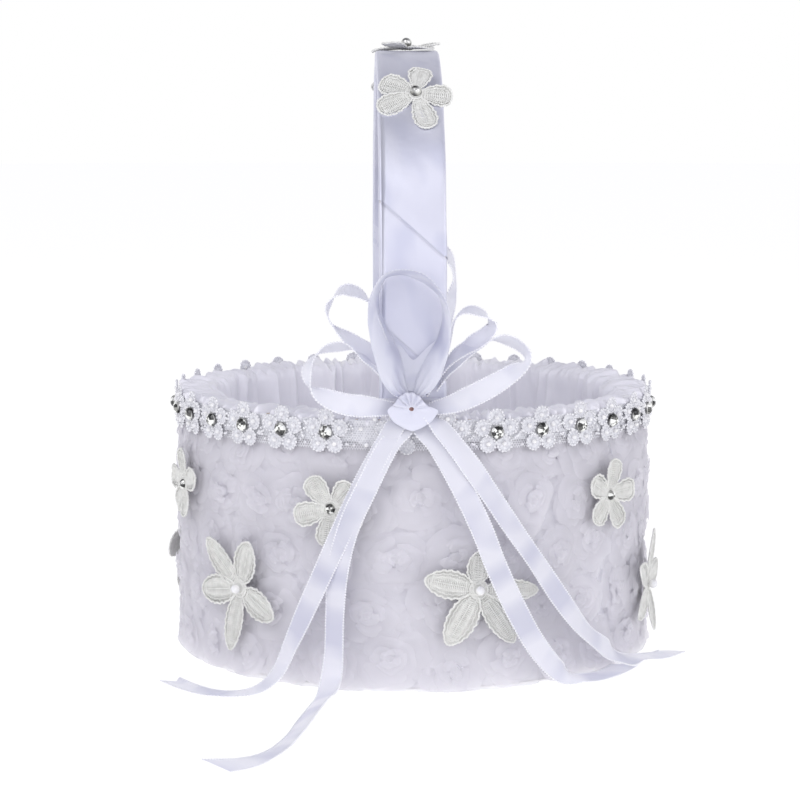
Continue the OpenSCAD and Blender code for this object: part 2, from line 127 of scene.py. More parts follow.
TAILS = {
    "tail_left_inner": [[-3, -118.6, 131, 8, -2, 4], [-4.8, -121.9, 122.5, 9, -1, 3.5],
        [-12, -124.5, 114, 9, -2, 3], [-21, -125, 96, 9, -2, 4], [-29, -123, 78, 9, -3, 3],
        [-34, -121.5, 58, 9, -3, 1], [-35.5, -121.5, 38, 8, -5, 1], [-36, -123, 20, 8, -5, 0],
        [-37, -127, 9.5, 9, -3, 1], [-39, -135, 3.6, 9, -2, 3], [-42, -147, 2.8, 8, -2, 4],
        [-46, -170, 2.8, 8, -2, 4], [-50, -195, 2.8, 8, -3, 4], [-57, -218, 2, 8, -6, 2],
        [-68, -233, 1.6, 5, -9, -1.5], [-84, -241, 2.4, 3, -9, -3.5]],
    "tail_left_outer": [[-4, -118.2, 130, 8, -2, 4], [-8, -121, 124, 9, -2, 4],
        [-16, -123.5, 110, 9, -3, 4], [-25, -123, 92, 9, -3, 4], [-33, -121.5, 74, 9, -3, 4],
        [-41, -119.5, 56, 8, -4, 4], [-49, -117, 38, 8, -5, 4], [-56, -115.5, 22, 7, -6, 4],
        [-62, -117, 9, 6, -8, 1], [-70, -120, 2.2, 5, -9, 0], [-80, -124, 0.8, 3, -10, 0],
        [-93, -122, 0.8, -1, -10, 0], [-105, -111, 0.8, -6, -8, 0], [-114, -98, 0.8, -8, -6, 0]],
    "tail_right_inner": [[3, -118.6, 131, 8, 2, -4], [5.1, -121.9, 122.5, 9, 1, -3.5],
        [13, -125, 113, 9, 2, -3], [22.5, -126, 96, 9, 2, -4], [31, -126, 78, 9, 2, -3],
        [38, -125, 60, 9, 3, -3], [46.5, -122, 41, 9, 3, -4], [56, -117.5, 23, 8, 4, -5],
        [66, -111, 9.5, 7, 6, -3], [74, -104.5, 3.8, 5, 8, -1.5], [82.5, -97.5, 1.6, -5, 8, 1.5],
        [91.5, -89.5, 1.2, -7, 7, 0.7], [98.5, -79.5, 1.3, -8, 5, 1], [104, -68.5, 1.5, -8.5, 4, 1.5]],
    "tail_right_outer": [[4.5, -118.2, 130, 8, 2, -4], [12, -122.4, 124, 8, 1.2, -4],
        [22.6, -124.3, 111, 8, 2.4, -5], [33, -122, 96, 8, 4, -5], [44, -118.5, 79, 7, 4, -5],
        [56, -113.5, 61, 7, 5, -5], [68, -107, 42, 7, 5, -5], [80, -99, 25, 6, 6, -5],
        [92, -89, 13, 6, 7, -4], [101, -78, 5.6, -5, 5, 4], [108.5, -64, 3, -7, 5, 1],
        [119, -55.5, 1.3, -6.5, 7, 0.7], [124.5, -49, 1.1, -7, 6, 0.7], [130, -41.5, 1, -8, 3, 0.5]],
}


# ---------------------------------------------------------------- camera, light and floor
def make_camera():
    data = bpy.data.cameras.new("camera")
    data.lens, data.sensor_width = 98.8, 36.0
    camera = bpy.data.objects.new("camera", data)
    bpy.context.scene.collection.objects.link(camera)
    camera.location = (0.0, -1.1, 0.268)
    camera.rotation_euler = Euler((math.radians(90 - 7.69), 0, math.radians(0.339)))
    bpy.context.scene.camera = camera


def area_light(name, place, aim, size, power):
    data = bpy.data.lights.new(name, "AREA")
    data.shape, data.size, data.size_y = "RECTANGLE", size[0], size[1]
    data.energy, data.color = power, (0.96, 0.96, 1.0)
    lamp = bpy.data.objects.new(name, data)
    bpy.context.scene.collection.objects.link(lamp)
    lamp.location = place
    direction = np.subtract(aim, place)
    yaw = math.atan2(direction[1], direction[0])
    pitch = math.atan2(direction[2], math.hypot(direction[0], direction[1]))
    lamp.rotation_euler = Euler((math.pi / 2 + pitch, 0, yaw - math.pi / 2))


def make_world():
    """A pale studio, dimmer in front of the object than behind it, and dim overhead."""
    world = bpy.data.worlds.new("studio")
    bpy.context.scene.world = world
    world.use_nodes = True
    tree = world.node_tree
    coords = add_node(tree, "TexCoord").outputs["Generated"]
    split = add_node(tree, "SeparateXYZ", Vector=coords)
    bright = add_node(tree, "Math")
    bright.operation = "MULTIPLY"
    for slot, axis, low, high, start, end in ((0, "Y", -0.8, 0.6, 0.72, 1.0),
            (1, "Z", 0.35, 0.9, 1.0, 0.3)):
        fade = add_node(tree, "MapRange", Value=split.outputs[axis], From_Min=low,
            From_Max=high, To_Min=start, To_Max=end)
        tree.links.new(fade.outputs[0], bright.inputs[slot])
    colour = ramp(tree, bright.outputs[0], [(0, (0, 0, 0)), (0.8, (0.77, 0.77, 0.83)),
        (1, (1, 1, 1))])
    background = tree.nodes["Background"]
    tree.links.new(colour, background.inputs["Color"])
    background.inputs["Strength"].default_value = 1.0


def make_stage():
    bpy.context.scene.view_settings.view_transform = "Standard"
    make_world()
    area_light("key", (-0.7, -1.1, 1.4), (0, 0, 0.15), (1.1, 1.1), 8.5)
    area_light("top", (0.3, -0.8, 1.4), (0, 0, 0.25), (0.8, 0.5), 1.2)
    area_light("fill", (1.3, -0.9, 0.8), (0, 0, 0.12), (0.8, 1.2), 4)
    area_light("front", (0.1, -1.7, 0.5), (0, 0, 0.12), (1.4, 0.9), 3)
    bpy.ops.mesh.primitive_circle_add(vertices=96, radius=9.0, fill_type="NGON")
    floor = bpy.context.object
    floor.name = "floor"
    material, _, _ = new_material("floor", Base_Color=(0.5, 0.5, 0.5), Roughness=1.0,
        Specular_IOR_Level=0.0, Emission_Color=(1.0, 1.0, 1.0), Emission_Strength=0.74)
    floor.data.materials.append(material)


# ---------------------------------------------------------------- materials
def add_node(tree, kind, **inputs):
    """A new shader node; each input is a value to set or an output to join to it."""
    node = tree.nodes.new("ShaderNode" + kind)
    for name, value in inputs.items():
        socket = node.inputs[name.replace("_", " ")]
        if isinstance(value, bpy.types.NodeSocket):
            tree.links.new(value, socket)
        else:
            socket.default_value = value
    return node


def new_material(name, **sockets):
    """A material with one Principled shader, and its plain values set."""
    material = bpy.data.materials.new(name)
    material.use_nodes = True
    shader = material.node_tree.nodes["Principled BSDF"]
    for socket, value in sockets.items():
        if isinstance(value, tuple):
            value = (*value, 1.0)
        shader.inputs[socket.replace("_", " ")].default_value = value
    return material, material.node_tree, shader


def ramp(tree, factor, stops, stepped=False):
    """Colours at places along a factor. Stepped: each holds until the next place."""
    node = tree.nodes.new("ShaderNodeValToRGB")
    node.color_ramp.interpolation = "CONSTANT" if stepped else "LINEAR"
    elements = node.color_ramp.elements
    for k, (place, colour) in ((0, stops[0]), (1, stops[-1])):
        elements[k].position = place
        elements[k].color = (*colour, 1)
    for place, colour in stops[1:-1]:
        elements.new(place).color = (*colour, 1)
    tree.links.new(factor, node.inputs[0])
    return node.outputs[0]


def noise(tree, scale, detail=3.0, vector=None, stretch=None):
    """A noise texture in object space, stretched where wanted."""
    if vector is None:
        vector = add_node(tree, "TexCoord").outputs["Object"]
    if stretch:
        vector = add_node(tree, "Mapping", Scale=stretch, Vector=vector).outputs["Vector"]
    return add_node(tree, "TexNoise", Scale=scale, Detail=detail, Vector=vector).outputs[0]


def paint(tree, shader, factor, dark, light, low=0.35, high=0.65):
    """Colours the shader from dark to light by a factor."""
    colour = ramp(tree, factor, [(low, dark), (high, light)])
    tree.links.new(colour, shader.inputs["Base Color"])
    return colour


def bump(tree, shader, height, distance, strength, below=None):
    """Raises the surface by a height; below is a bump that this one lies on."""
    node = add_node(tree, "Bump", Strength=strength, Distance=distance, Height=height)
    if below is not None:
        tree.links.new(below, node.inputs["Normal"])
    tree.links.new(node.outputs[0], shader.inputs["Normal"])
    return node.outputs[0]


def kept(tree, name, output):
    """A value kept on the mesh: cloth (millimetres across and along it) or tone (0.5 if unset), which
    holds painted highlight and shade on ribbons and painted reflections on stones.
    """
    node = tree.nodes.new("ShaderNodeAttribute")
    node.attribute_name = name
    return node.outputs[output]


def mix_shaders(tree, first, second, share):
    """Puts a mix with this share of the second on the material's output."""
    mix = tree.nodes.new("ShaderNodeMixShader")
    mix.inputs[0].default_value = share
    tree.links.new(first, mix.inputs[1])
    tree.links.new(second, mix.inputs[2])
    tree.links.new(mix.outputs[0], tree.nodes["Material Output"].inputs["Surface"])
    return mix.outputs[0]


def let_light_through(tree, shader, colour, share):
    """Mixes in light from behind, for thin cloth."""
    thin = add_node(tree, "BsdfTranslucent", Color=colour)
    return mix_shaders(tree, shader.outputs[0], thin.outputs[0], share)


def satin(name, dark, light, roughness, thin=0.0, metal=0.0):
    """Satin: soft changes of tone that are painted sheen, faint creases, a fine weave; thin cloth lets
    light through.
    """
    material, tree, shader = new_material(name, Roughness=roughness, Sheen_Weight=0.2,
        Sheen_Roughness=0.4, Specular_IOR_Level=0.5, Anisotropic=0.4, Metallic=metal)
    cloth = kept(tree, "cloth", "Vector")
    # Painted sheen: stretched noise along the cloth, plus the mesh's tone, gives the light and dark
    # bands of satin's highlight
    painted_sheen = add_node(tree, "Math")
    painted_sheen.operation = "ADD"
    tree.links.new(noise(tree, 1.0, 1.0, cloth, (0.035, 0.05, 1.0)), painted_sheen.inputs[0])
    tree.links.new(kept(tree, "tone", "Fac"), painted_sheen.inputs[1])
    colour = paint(tree, shader, painted_sheen.outputs[0], dark, light, 0.8, 1.2)
    creased = bump(tree, shader, noise(tree, 90.0, 2.0), 0.0012, 0.2)
    wave = add_node(tree, "TexWave", Scale=1.1, Distortion=0.6, Vector=cloth)
    bump(tree, shader, wave.outputs["Fac"], 0.00003, 0.2, creased)
    if thin:
        let_light_through(tree, shader, colour, thin)
    return material


def chiffon_material():
    """Sheer cloth: part of the light comes from behind it, and part goes straight through."""
    material, tree, shader = new_material("chiffon", Roughness=0.9, Sheen_Weight=0.3,
        Specular_IOR_Level=0.15)
    colour = paint(tree, shader, noise(tree, 55.0, 2.0), (0.90, 0.89, 0.92),
        (0.95, 0.94, 0.965), 0.3, 0.7)
    bump(tree, shader, noise(tree, 1500.0, 1.0), 0.0002, 0.25)
    lit = let_light_through(tree, shader, colour, 0.55)
    mix_shaders(tree, lit, add_node(tree, "BsdfTransparent").outputs[0], 0.34)
    return material


def mottled(name, dark, light, scale, detail=3.0, grain=None, depth=0.0003, thin=0.0, **sockets):
    """A plain surface with a slight change of colour and a fine grain."""
    material, tree, shader = new_material(name, **sockets)
    colour = paint(tree, shader, noise(tree, scale, detail), dark, light)
    if thin:
        let_light_through(tree, shader, colour, thin)
    bump(tree, shader, noise(tree, grain or scale * 8, 2.0), depth, 0.4)
    return material


def stone_material():
    """Cut glass: each facet keeps its own painted reflection, light or dark, over the glass's own gloss.
    """
    material, tree, shader = new_material("rhinestone", Roughness=0.06, Metallic=0.35,
        Specular_IOR_Level=0.8, Coat_Weight=0.6, Coat_Roughness=0.03)
    # Painted reflections: from near black through greys to a bright glint
    tones = [(0.0, (0.012, 0.013, 0.012))]
    tones += [(place, (grey, grey, grey * 0.93)) for place, grey in ((0.3, 0.09), (0.5, 0.32))]
    tones += [(0.72, (0.95, 0.96, 0.92))]
    colour = ramp(tree, kept(tree, "tone", "Fac"), tones, stepped=True)
    tree.links.new(colour, shader.inputs["Base Color"])
    return material


make_camera()
make_stage()

SATIN = satin("satin", (0.615, 0.625, 0.74), (0.70, 0.705, 0.80), 0.44, metal=0.5)
SATIN_PLAIN = satin("satin_lining", (0.80, 0.79, 0.845), (0.88, 0.87, 0.92), 0.32)
RIBBON = satin("ribbon_satin", (0.70, 0.705, 0.81), (0.87, 0.87, 0.93), 0.3, 0.3)
WIDE_SATIN = satin("wide_ribbon_satin", (0.62, 0.63, 0.76), (0.88, 0.885, 0.95), 0.36, 0.3)
# The knot's satin is a darker copy of the ribbon satin: painted shade, since the knot faces up into more
# light than the tails
KNOT_SATIN_PAINTED_SHADE = satin("knot_satin", (0.60, 0.605, 0.71), (0.70, 0.705, 0.80), 0.4)
SELVAGE = mottled("selvage", (0.88, 0.88, 0.93), (0.95, 0.95, 0.98), 900, Roughness=0.45)
CHIFFON = chiffon_material()
NET = mottled("net_thread", (0.86, 0.86, 0.90), (0.92, 0.92, 0.95), 400, Roughness=0.6)
LACE = mottled("lace_thread", (0.80, 0.80, 0.765), (0.92, 0.92, 0.885), 350, 4.0, 2600, 0.0004,
    0.1, Roughness=0.6, Sheen_Weight=0.2)
LACE_FILL = mottled("lace_fill", (0.76, 0.76, 0.725), (0.88, 0.88, 0.845), 500, 4.0, 2200, 0.0006,
    0.12, Roughness=0.75)
GAUZE = mottled("net_ground", (0.62, 0.62, 0.66), (0.84, 0.84, 0.87), 900, 2.0, 2400, 0.0003,
    Roughness=0.8)
SEED = mottled("seed_bead", (0.76, 0.76, 0.79), (0.90, 0.90, 0.92), 700, Roughness=0.14,
    Coat_Weight=0.5, Coat_Roughness=0.08)
PEARL = mottled("pearl", (0.82, 0.82, 0.85), (0.90, 0.89, 0.88), 500, Roughness=0.2,
    Coat_Weight=0.7, Coat_Roughness=0.05)
SILVER = mottled("silver", (0.03, 0.03, 0.03), (0.75, 0.75, 0.72), 260, 0.0, Roughness=0.12,
    Metallic=1.0)
COPPER = mottled("copper", (0.15, 0.08, 0.075), (0.34, 0.20, 0.18), 700, Roughness=0.35,
    Metallic=0.6)
BOARD = mottled("paperboard", (0.42, 0.34, 0.25), (0.52, 0.43, 0.32), 60, Roughness=0.9)
STONE = stone_material()


# ---------------------------------------------------------------- mesh building
class Shape:
    """Collects grids, tubes and copies in millimetres, and makes one object of them."""

    def __init__(self):
        self.points, self.cloth, self.tones = [], [], []
        self.quads, self.tris, self.count = [], [], 0

    def add(self, points, quads=None, tris=None, cloth=None, tone=0.5):
        points = np.asarray(points, float).reshape(-1, 3)
        self.points.append(points)
        self.cloth.append(np.zeros_like(points) if cloth is None else cloth.reshape(-1, 3))
        self.tones.append(np.full(len(points), tone) if np.isscalar(tone) else tone)
        if quads is not None:
            self.quads.append(np.asarray(quads) + self.count)
        if tris is not None:
            self.tris.append(np.asarray(tris) + self.count)
        self.count += len(points)

    def grid(self, points, round_u=False, round_v=False, cloth=None, tone=0.5):
        """points is rows x columns x 3; u runs along the columns and v along the rows."""
        rows, columns = points.shape[:2]
        index = np.arange(rows * columns).reshape(rows, columns)
        if round_v:
            index = np.concatenate([index, index[:1]], 0)
        if round_u:
            index = np.concatenate([index, index[:, :1]], 1)
        quads = np.stack([index[:-1, :-1], index[:-1, 1:], index[1:, 1:], index[1:, :-1]], -1)
        self.add(points, quads.reshape(-1, 4), cloth=cloth, tone=tone)

    def tube(self, path, radius, sides=6, closed=False, up=(0, 0, 1)):
        path = np.asarray(path, float)
        if closed:
            along = np.roll(path, -1, 0) - np.roll(path, 1, 0)
        else:
            along = np.gradient(path, axis=0)
        along /= np.linalg.norm(along, axis=1)[:, None] + 1e-9
        side = np.cross(along, np.broadcast_to(up, path.shape))
        side /= np.linalg.norm(side, axis=1)[:, None] + 1e-9
        high = np.cross(side, along)
        turn = np.arange(sides) * TAU / sides
        radius = np.broadcast_to(radius, len(path))[:, None, None]
        ring = np.cos(turn)[:, None] * side[:, None] + np.sin(turn)[:, None] * high[:, None]
        self.grid(path[:, None] + radius * ring, round_u=True, round_v=closed)

    def copies(self, template, centres, size):
        """Copies of a template at many centres, each with its own size."""
        points, quads, tris = template
        centres = np.asarray(centres, float).reshape(-1, 3)
        size = np.broadcast_to(size, len(centres))[:, None, None]
        placed = np.broadcast_to(points, (len(centres), *points.shape)) * size
        placed = placed + centres[:, None]
        step = (np.arange(len(centres)) * len(points))[:, None, None]
        self.add(placed, (quads + step).reshape(-1, 4), (tris + step).reshape(-1, 3))

    def build(self, name, material, slot, replaces=(), smooth=True):
        mesh = bpy.data.meshes.new(name)
        faces = [f for q in self.quads for f in q.tolist()]
        faces += [f for t in self.tris for f in t.tolist()]
        mesh.from_pydata((np.concatenate(self.points) * MM).tolist(), [], faces)
        mesh.polygons.foreach_set("use_smooth", [smooth] * len(mesh.polygons))
        cloth = mesh.attributes.new("cloth", "FLOAT_VECTOR", "POINT")
        cloth.data.foreach_set("vector", np.concatenate(self.cloth).ravel())
        tone = mesh.attributes.new("tone", "FLOAT", "POINT")
        tone.data.foreach_set("value", np.concatenate(self.tones).ravel())
        mesh.update()
        mesh.materials.append(material)
        piece = bpy.data.objects.new(name, mesh)
        bpy.context.scene.collection.objects.link(piece)
        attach(piece, "root")
        if replaces:
            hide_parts(*replaces)
        return piece


def ball(segments, rings):
    """A unit sphere as points, quads and triangles."""
    tilt = np.arange(1, rings) * math.pi / rings
    turn = np.arange(segments) * TAU / segments
    middle = np.stack([np.outer(np.sin(tilt), np.cos(turn)), np.outer(np.sin(tilt), np.sin(turn)),
        np.outer(np.cos(tilt), np.ones(segments))], -1).reshape(-1, 3)
    points = np.concatenate([middle, [[0, 0, 1], [0, 0, -1]]])
    index = np.arange((rings - 1) * segments).reshape(rings - 1, segments)
    after = np.roll(index, -1, 1)
    quads = np.stack([index[:-1], index[1:], after[1:], after[:-1]], -1).reshape(-1, 4)
    top, bottom = len(middle), len(middle) + 1
    tris = [[top, index[0, i], after[0, i]] for i in range(segments)]
    tris += [[bottom, after[-1, i], index[-1, i]] for i in range(segments)]
    return points, quads, np.array(tris)


def xyz(x, y, z):
    """Points from their coordinates, which are spread over each other."""
    return np.stack(np.broadcast_arrays(x, y, z), -1)


def once_round(count):
    """Even angles once round, as one row."""
    return np.linspace(0, TAU, count, endpoint=False)[None]


def round_rows(radius, height, count):
    """Rows of points round the z axis, one row for each radius and height."""
    turn = once_round(count)
    radius, height = (np.asarray(value, float)[:, None] for value in (radius, height))
    return xyz(radius * np.cos(turn), radius * np.sin(turn), height)


def distances(points):
    """How far along a line of points each one is."""
    return np.concatenate([[0], np.cumsum(np.linalg.norm(np.diff(points, axis=0), axis=1))])


def sample(place, run, values):
    """Rows of values at places along a run."""
    return np.stack([np.interp(place, run, values[:, i]) for i in range(3)], -1)


def wall_axes(azimuth):
    """Right, up and outward as seen from outside the wall, at an angle from the front."""
    a = math.radians(azimuth)
    return np.array([[math.cos(a), math.sin(a), 0], [0, 0, 1], [math.sin(a), -math.cos(a), 0]])


def wall_point(azimuth, radius, height):
    a = math.radians(azimuth)
    return np.array([radius * math.sin(a), -radius * math.cos(a), height])


def ring_points(angle, radius, height):
    """Points round the axis; angle is from the front, in radians."""
    return xyz(radius * np.sin(angle), -radius * np.cos(angle), height)


def ripples(angle, rng, low, high, count=10):
    """A smooth wave round the axis, between -1 and 1 or so."""
    total = np.zeros_like(angle)
    for _ in range(count):
        total = total + np.cos(angle * rng.integers(low, high) + rng.uniform(0, TAU))
    return total / math.sqrt(count / 2) / 1.6


# ---------------------------------------------------------------- basket body
def pleats(angle, height, rng, count, depth, lean):
    """Knife pleats: each rises slowly to a crisp fold and falls back at once."""
    total = np.zeros(np.broadcast(angle, height).shape)
    for i in range(count):
        centre = (i + rng.uniform(-0.36, 0.36)) * TAU / count
        wide = TAU / count * rng.uniform(0.7, 1.25)
        slant = rng.normal(0, lean) * (height - 0.5) + rng.normal(0, lean * 0.3) * (height - 0.5) ** 2
        place = (angle - centre - slant + math.pi) % TAU - math.pi
        t = place / wide * rng.choice([-1, 1])
        rise = np.clip((t + 0.8) / 1.0, 0, 1) ** 1.4
        fall = np.clip((0.34 - t) / 0.14, 0, 1)
        fade = 0.55 + 0.45 * np.cos((height - rng.uniform(0, 1)) * 2.2)
        total += rng.uniform(0.35, 1.0) * depth * rise * fall * fade
    return total


def make_lining():
    """Ruched satin, from the floor up the wall, over the rim and down outside it."""
    rng = np.random.default_rng(5)
    run = distances(LINING_PROFILE)
    where = np.concatenate([np.linspace(0, run[RIM_ROW], 36)[:-1],
        np.linspace(run[RIM_ROW], run[-1], 26)])
    radius = np.interp(where, run, LINING_PROFILE[:, 0])[:, None]
    height = np.interp(where, run, LINING_PROFILE[:, 1])[:, None]
    angle = once_round(1200)
    up = np.clip(height / RIM_Z, 0, 1)
    fold = pleats(angle, up, rng, 44, 7.5, 0.13) + pleats(angle, up, rng, 26, 3.2, 0.3)
    fold = fold + pleats(angle, up, rng, 90, 0.5, 0.06)
    fold = (fold + np.roll(fold, 1, 1) + np.roll(fold, -1, 1)) / 3
    out = np.clip((radius - 102.5) / 9, 0, 1)
    inward = fold * (1 - out) * np.clip(height / 20, 0.25, 1)
    pucker = np.abs(ripples(angle, rng, 30, 100, 14)) * 1.9 + ripples(angle, rng, 12, 30) * 0.6
    crumple = sum(np.cos(angle * rng.integers(50, 150) + where[:, None] * rng.uniform(-0.5, 0.5)
        + rng.uniform(0, TAU)) for _ in range(10)) * 0.5
    pucker = pucker + crumple
    swell = ripples(angle + up * 0.2, rng, 7, 22) * 0.8
    radius = radius - inward + out * (pucker * 0.6 - 0.6) + swell * (1 - out)
    height = height + np.clip((up - 0.9) * 10, 0, 1) * (pucker * 0.9 - 0.9) * (0.5 + 0.5 * out)
    points = ring_points(angle, radius, height)
    cloth = xyz(angle * 105, where[:, None], 0.0)
    shape = Shape()
    shape.grid(points, round_u=True, cloth=cloth)
    return shape.build("lining_satin", SATIN_PLAIN, "lining_satin", ["lining", "rim_roll"])


def disc(shape, radius, top, rows, columns, flip=1):
    """A round sheet from its height function of radius share and angle."""
    share = np.linspace(0.0, 1, rows)[:, None] + 1e-3
    angle = np.linspace(0, TAU, columns, endpoint=False)[None]
    points = ring_points(flip * angle, radius * share, top(share, flip * angle))
    shape.grid(points, round_u=True, cloth=points)


def make_floor():
    rng = np.random.default_rng(8)

    def top(share, angle):
        wrinkle = ripples(angle, rng, 20, 60) * 0.5 * np.clip((share - 0.75) * 5, 0, 1)
        return 3.2 + 6.4 * (1 - share ** 7) + 1.6 * (1 - share ** 2) + wrinkle * (1 - share ** 12)

    shape = Shape()
    disc(shape, PAD_R, top, 40, 200)
    disc(shape, PAD_R, lambda share, angle: 3.05 + 0 * share * angle, 3, 200, -1)
    piece = shape.build("floor_pad_satin", SATIN_PLAIN, "lining_satin", ["floor_pad"])

    under = Shape()
    wave = np.random.default_rng(9)
    disc(under, COVER_R, lambda share, angle: 0.35 + 0.3 * ripples(angle, wave, 9, 30)
        * np.clip((share - 0.8) * 5, 0, 1) ** 2 * (1 - share) * 8, 30, 240, -1)
    cover = under.build("base_cover_satin", SATIN_PLAIN, "lining_satin", ["base_cover"])


def hex_net(shape, radius, low, high, cell, thread, rng, swell=0.25):
    """Fine hexagonal net as flat threads round the axis."""
    columns = int(round(TAU * radius / cell))
    edge = cell / math.sqrt(3)
    rows = int((high - low) / (1.5 * edge))
    i, j = np.meshgrid(np.arange(columns), np.arange(rows))
    x = (i + (j % 2) / 2) * TAU * radius / columns
    y = low + j * 1.5 * edge
    wave = [(rng.integers(3, 40), rng.uniform(0, TAU), rng.uniform(-0.05, 0.05)) for _ in range(8)]

    def place(x, y):
        angle = x / radius
        lift = sum(np.cos(angle * k + p + y * s) for k, p, s in wave) / 4
        return ring_points(angle, radius + swell * lift, y)

    starts = [(x, y), (x, y + edge), (x, y + edge)]
    ends = [(x, y + edge), (x + cell / 2, y + 1.5 * edge), (x - cell / 2, y + 1.5 * edge)]
    for (ax, ay), (bx, by) in zip(starts, ends):
        dx, dy = bx - ax, by - ay
        long = np.hypot(dx, dy)
        nx, ny = -dy / long * thread / 2, dx / long * thread / 2
        corners = np.stack([place(ax - nx, ay - ny), place(bx - nx, by - ny),
            place(bx + nx, by + ny), place(ax + nx, ay + ny)], -2)
        count = corners.reshape(-1, 4, 3).shape[0]
        shape.add(corners, np.arange(count * 4).reshape(-1, 4))


def make_skin():
    rng = np.random.default_rng(12)
    sleeve = Shape()
    angle = once_round(360)
    height = np.array([0.9, 1.6, 4, 12, 30, 60, 90, 110, 118, WALL_TOP])[:, None]
    radius = SLEEVE_R + 0.1 * np.clip(ripples(angle + height * 0.004, rng, 5, 40), -1, 1)
    points = ring_points(angle, radius, height)
    cloth = xyz(angle * 114, height, 0.0)
    sleeve.grid(points, round_u=True, cloth=cloth)
    satin_piece = sleeve.build("satin_sleeve_cloth", SATIN_PLAIN, "lining_satin",
        ["satin_sleeve"])
    net = Shape()
    hex_net(net, NET_R, 1.2, WALL_TOP, 1.5, 0.26, rng)
    net_piece = net.build("net_cloth", NET, "net", ["net_skin"])


# ---------------------------------------------------------------- chiffon rosettes
def petal(rng, middle, half, inner, outer, low, high, stand, nu=15, nv=7):
    """One rounded petal round a rosette's centre. stand: 0 lies flat, 1 stands up."""
    u = np.linspace(-1, 1, nu)[None]
    v = np.linspace(0, 1, nv)[:, None]
    ragged = 1 + 0.07 * np.cos(u * rng.uniform(2, 5) + rng.uniform(0, TAU))
    ragged = ragged + 0.018 * np.cos(u * rng.uniform(8, 14) + rng.uniform(0, TAU))
    tip = outer * (1 - 0.13 * np.abs(u) ** 3) * ragged
    radius = inner + (tip - inner) * v ** (1 + 0.7 * stand)
    angle = middle + half * u * (1.0 - 0.12 * v) + rng.normal(0, 0.08) * v
    ruffle = np.sin(u * rng.uniform(3.5, 8) + rng.uniform(0, TAU)) * v ** 2
    lift = low + (high - low) * (1 - (1 - v) ** (2 + stand)) + 0.6 * ruffle * (1 - 0.4 * stand)
    lift = lift - (1.5 - 0.7 * stand) * np.clip((v - 0.6) / 0.4, 0, 1) ** 2
    lift = lift - 0.6 * np.abs(u) ** 3 * v
    return np.stack([radius * np.cos(angle), radius * np.sin(angle), np.broadcast_to(lift,
        radius.shape)], -1)


def rosette(shape, rng, place, flat):
    """A soft rose of gathered chiffon: broad petals wound loosely round a small heart."""
    grow = rng.uniform(0.94, 1.12)
    puff = flat * rng.uniform(0.55, 0.85)
    start = rng.uniform(0, TAU)
    lean = rng.normal(0, 0.06, 2)
    squash = rng.uniform(0.76, 1.0)
    across = rng.uniform(0, math.pi)
    c, s = math.cos(across), math.sin(across)
    stretch = np.array([[c, s], [-s, c]]).T @ np.diag([1.0, squash]) @ np.array([[c, s], [-s, c]])
    off = rng.normal(0, 1.2, 2)

    def settle(points, share, shift=0.0):
        points[..., :2] = points[..., :2] @ stretch + off * share + shift
        points[..., 2] = np.maximum((points[..., 2] + points[..., :2] @ lean) * puff, 0.1)
        return place(points)

    for count, half, inner, outer, low, high, stand in PETAL_LAYERS:
        start += rng.uniform(0.4, 1.2)
        for k in range(count):
            middle = start + k * TAU / count + rng.normal(0, 0.25)
            points = petal(rng, middle, half * rng.uniform(0.8, 1.0), inner,
                outer * grow * rng.uniform(0.82, 1.12), low, high * rng.uniform(0.8, 1.15), stand)
            shape.grid(settle(points, high / 5, rng.normal(0, 0.6, 2)), tone=rng.uniform(0.3, 0.7))
    turn = once_round(14)
    share = np.linspace(0.02, 1, 5)[:, None]
    reach = 3.0 * share * (1 + 0.16 * np.cos(turn * 2 + start) + 0.08 * np.cos(turn * 5))
    heart = xyz(reach * np.cos(turn), reach * np.sin(turn),
        4.9 - 1.4 * share ** 2 + 0.3 * np.sin(share * 9 + turn)).copy()
    shape.grid(settle(heart, 1.0), round_u=True)


def wall_lift(height, lift):
    """How far gathered chiffon stands off the wall: it spreads at the foot, and lies flat
    under the beaded trim."""
    foot = 3.4 * np.exp(-np.clip(height, 0, None) / 4.5)
    return (lift + foot) * np.interp(height, [105, 113], [1.0, 0.25])


def make_rosettes():
    rng = np.random.default_rng(31)
    step = 360 / ROSETTES
    for row in range(ROWS):
        shape = Shape()
        for i in range(ROSETTES):
            azimuth = (i + (row % 2) / 2) * step + ROSETTE_AZ + rng.normal(0, 1.3)
            height = ROW_Z + row * ROW_PITCH + rng.normal(0, 1.6)

            def place(points, azimuth=azimuth, height=height):
                """Bends a rosette's own frame round the wall."""
                angle = math.radians(azimuth) + points[..., 0] / SKIN_R
                high = 0.3 + np.log1p(np.exp(height + points[..., 1] - 0.3))
                lift = wall_lift(high, points[..., 2] + 1.3)
                return ring_points(angle, SKIN_R + 0.2 + lift, np.minimum(high, 124.5))

            rosette(shape, rng, place, 1.0 if row < ROWS - 1 else 0.85)
        low, high = ROW_Z + (row - 0.5) * ROW_PITCH, ROW_Z + (row + 0.5) * ROW_PITCH
        height = np.linspace(max(low - 1, 0.3), min(high + 1, WALL_TOP), 22)[:, None]
        angle = once_round(900)
        ruffle = ripples(angle + height * 0.003, rng, 30, 110, 16) * 0.75
        ruffle = ruffle + ripples(angle - height * 0.02, rng, 20, 60) * 0.5
        bare = np.clip(ripples(angle, rng, 12, 40) + np.cos((height - low) * 0.3 + row) * 0.5 - 0.8,
            0, 1)
        lift = wall_lift(height, 1.7 + ruffle - 6 * bare)
        ground = ring_points(angle, SKIN_R + np.maximum(lift, -1.4), height)
        shape.grid(ground, round_u=True)
        piece = shape.build(f"rosettes_{row + 1}", CHIFFON, "chiffon", [f"rosettes_row_{row + 1}"])


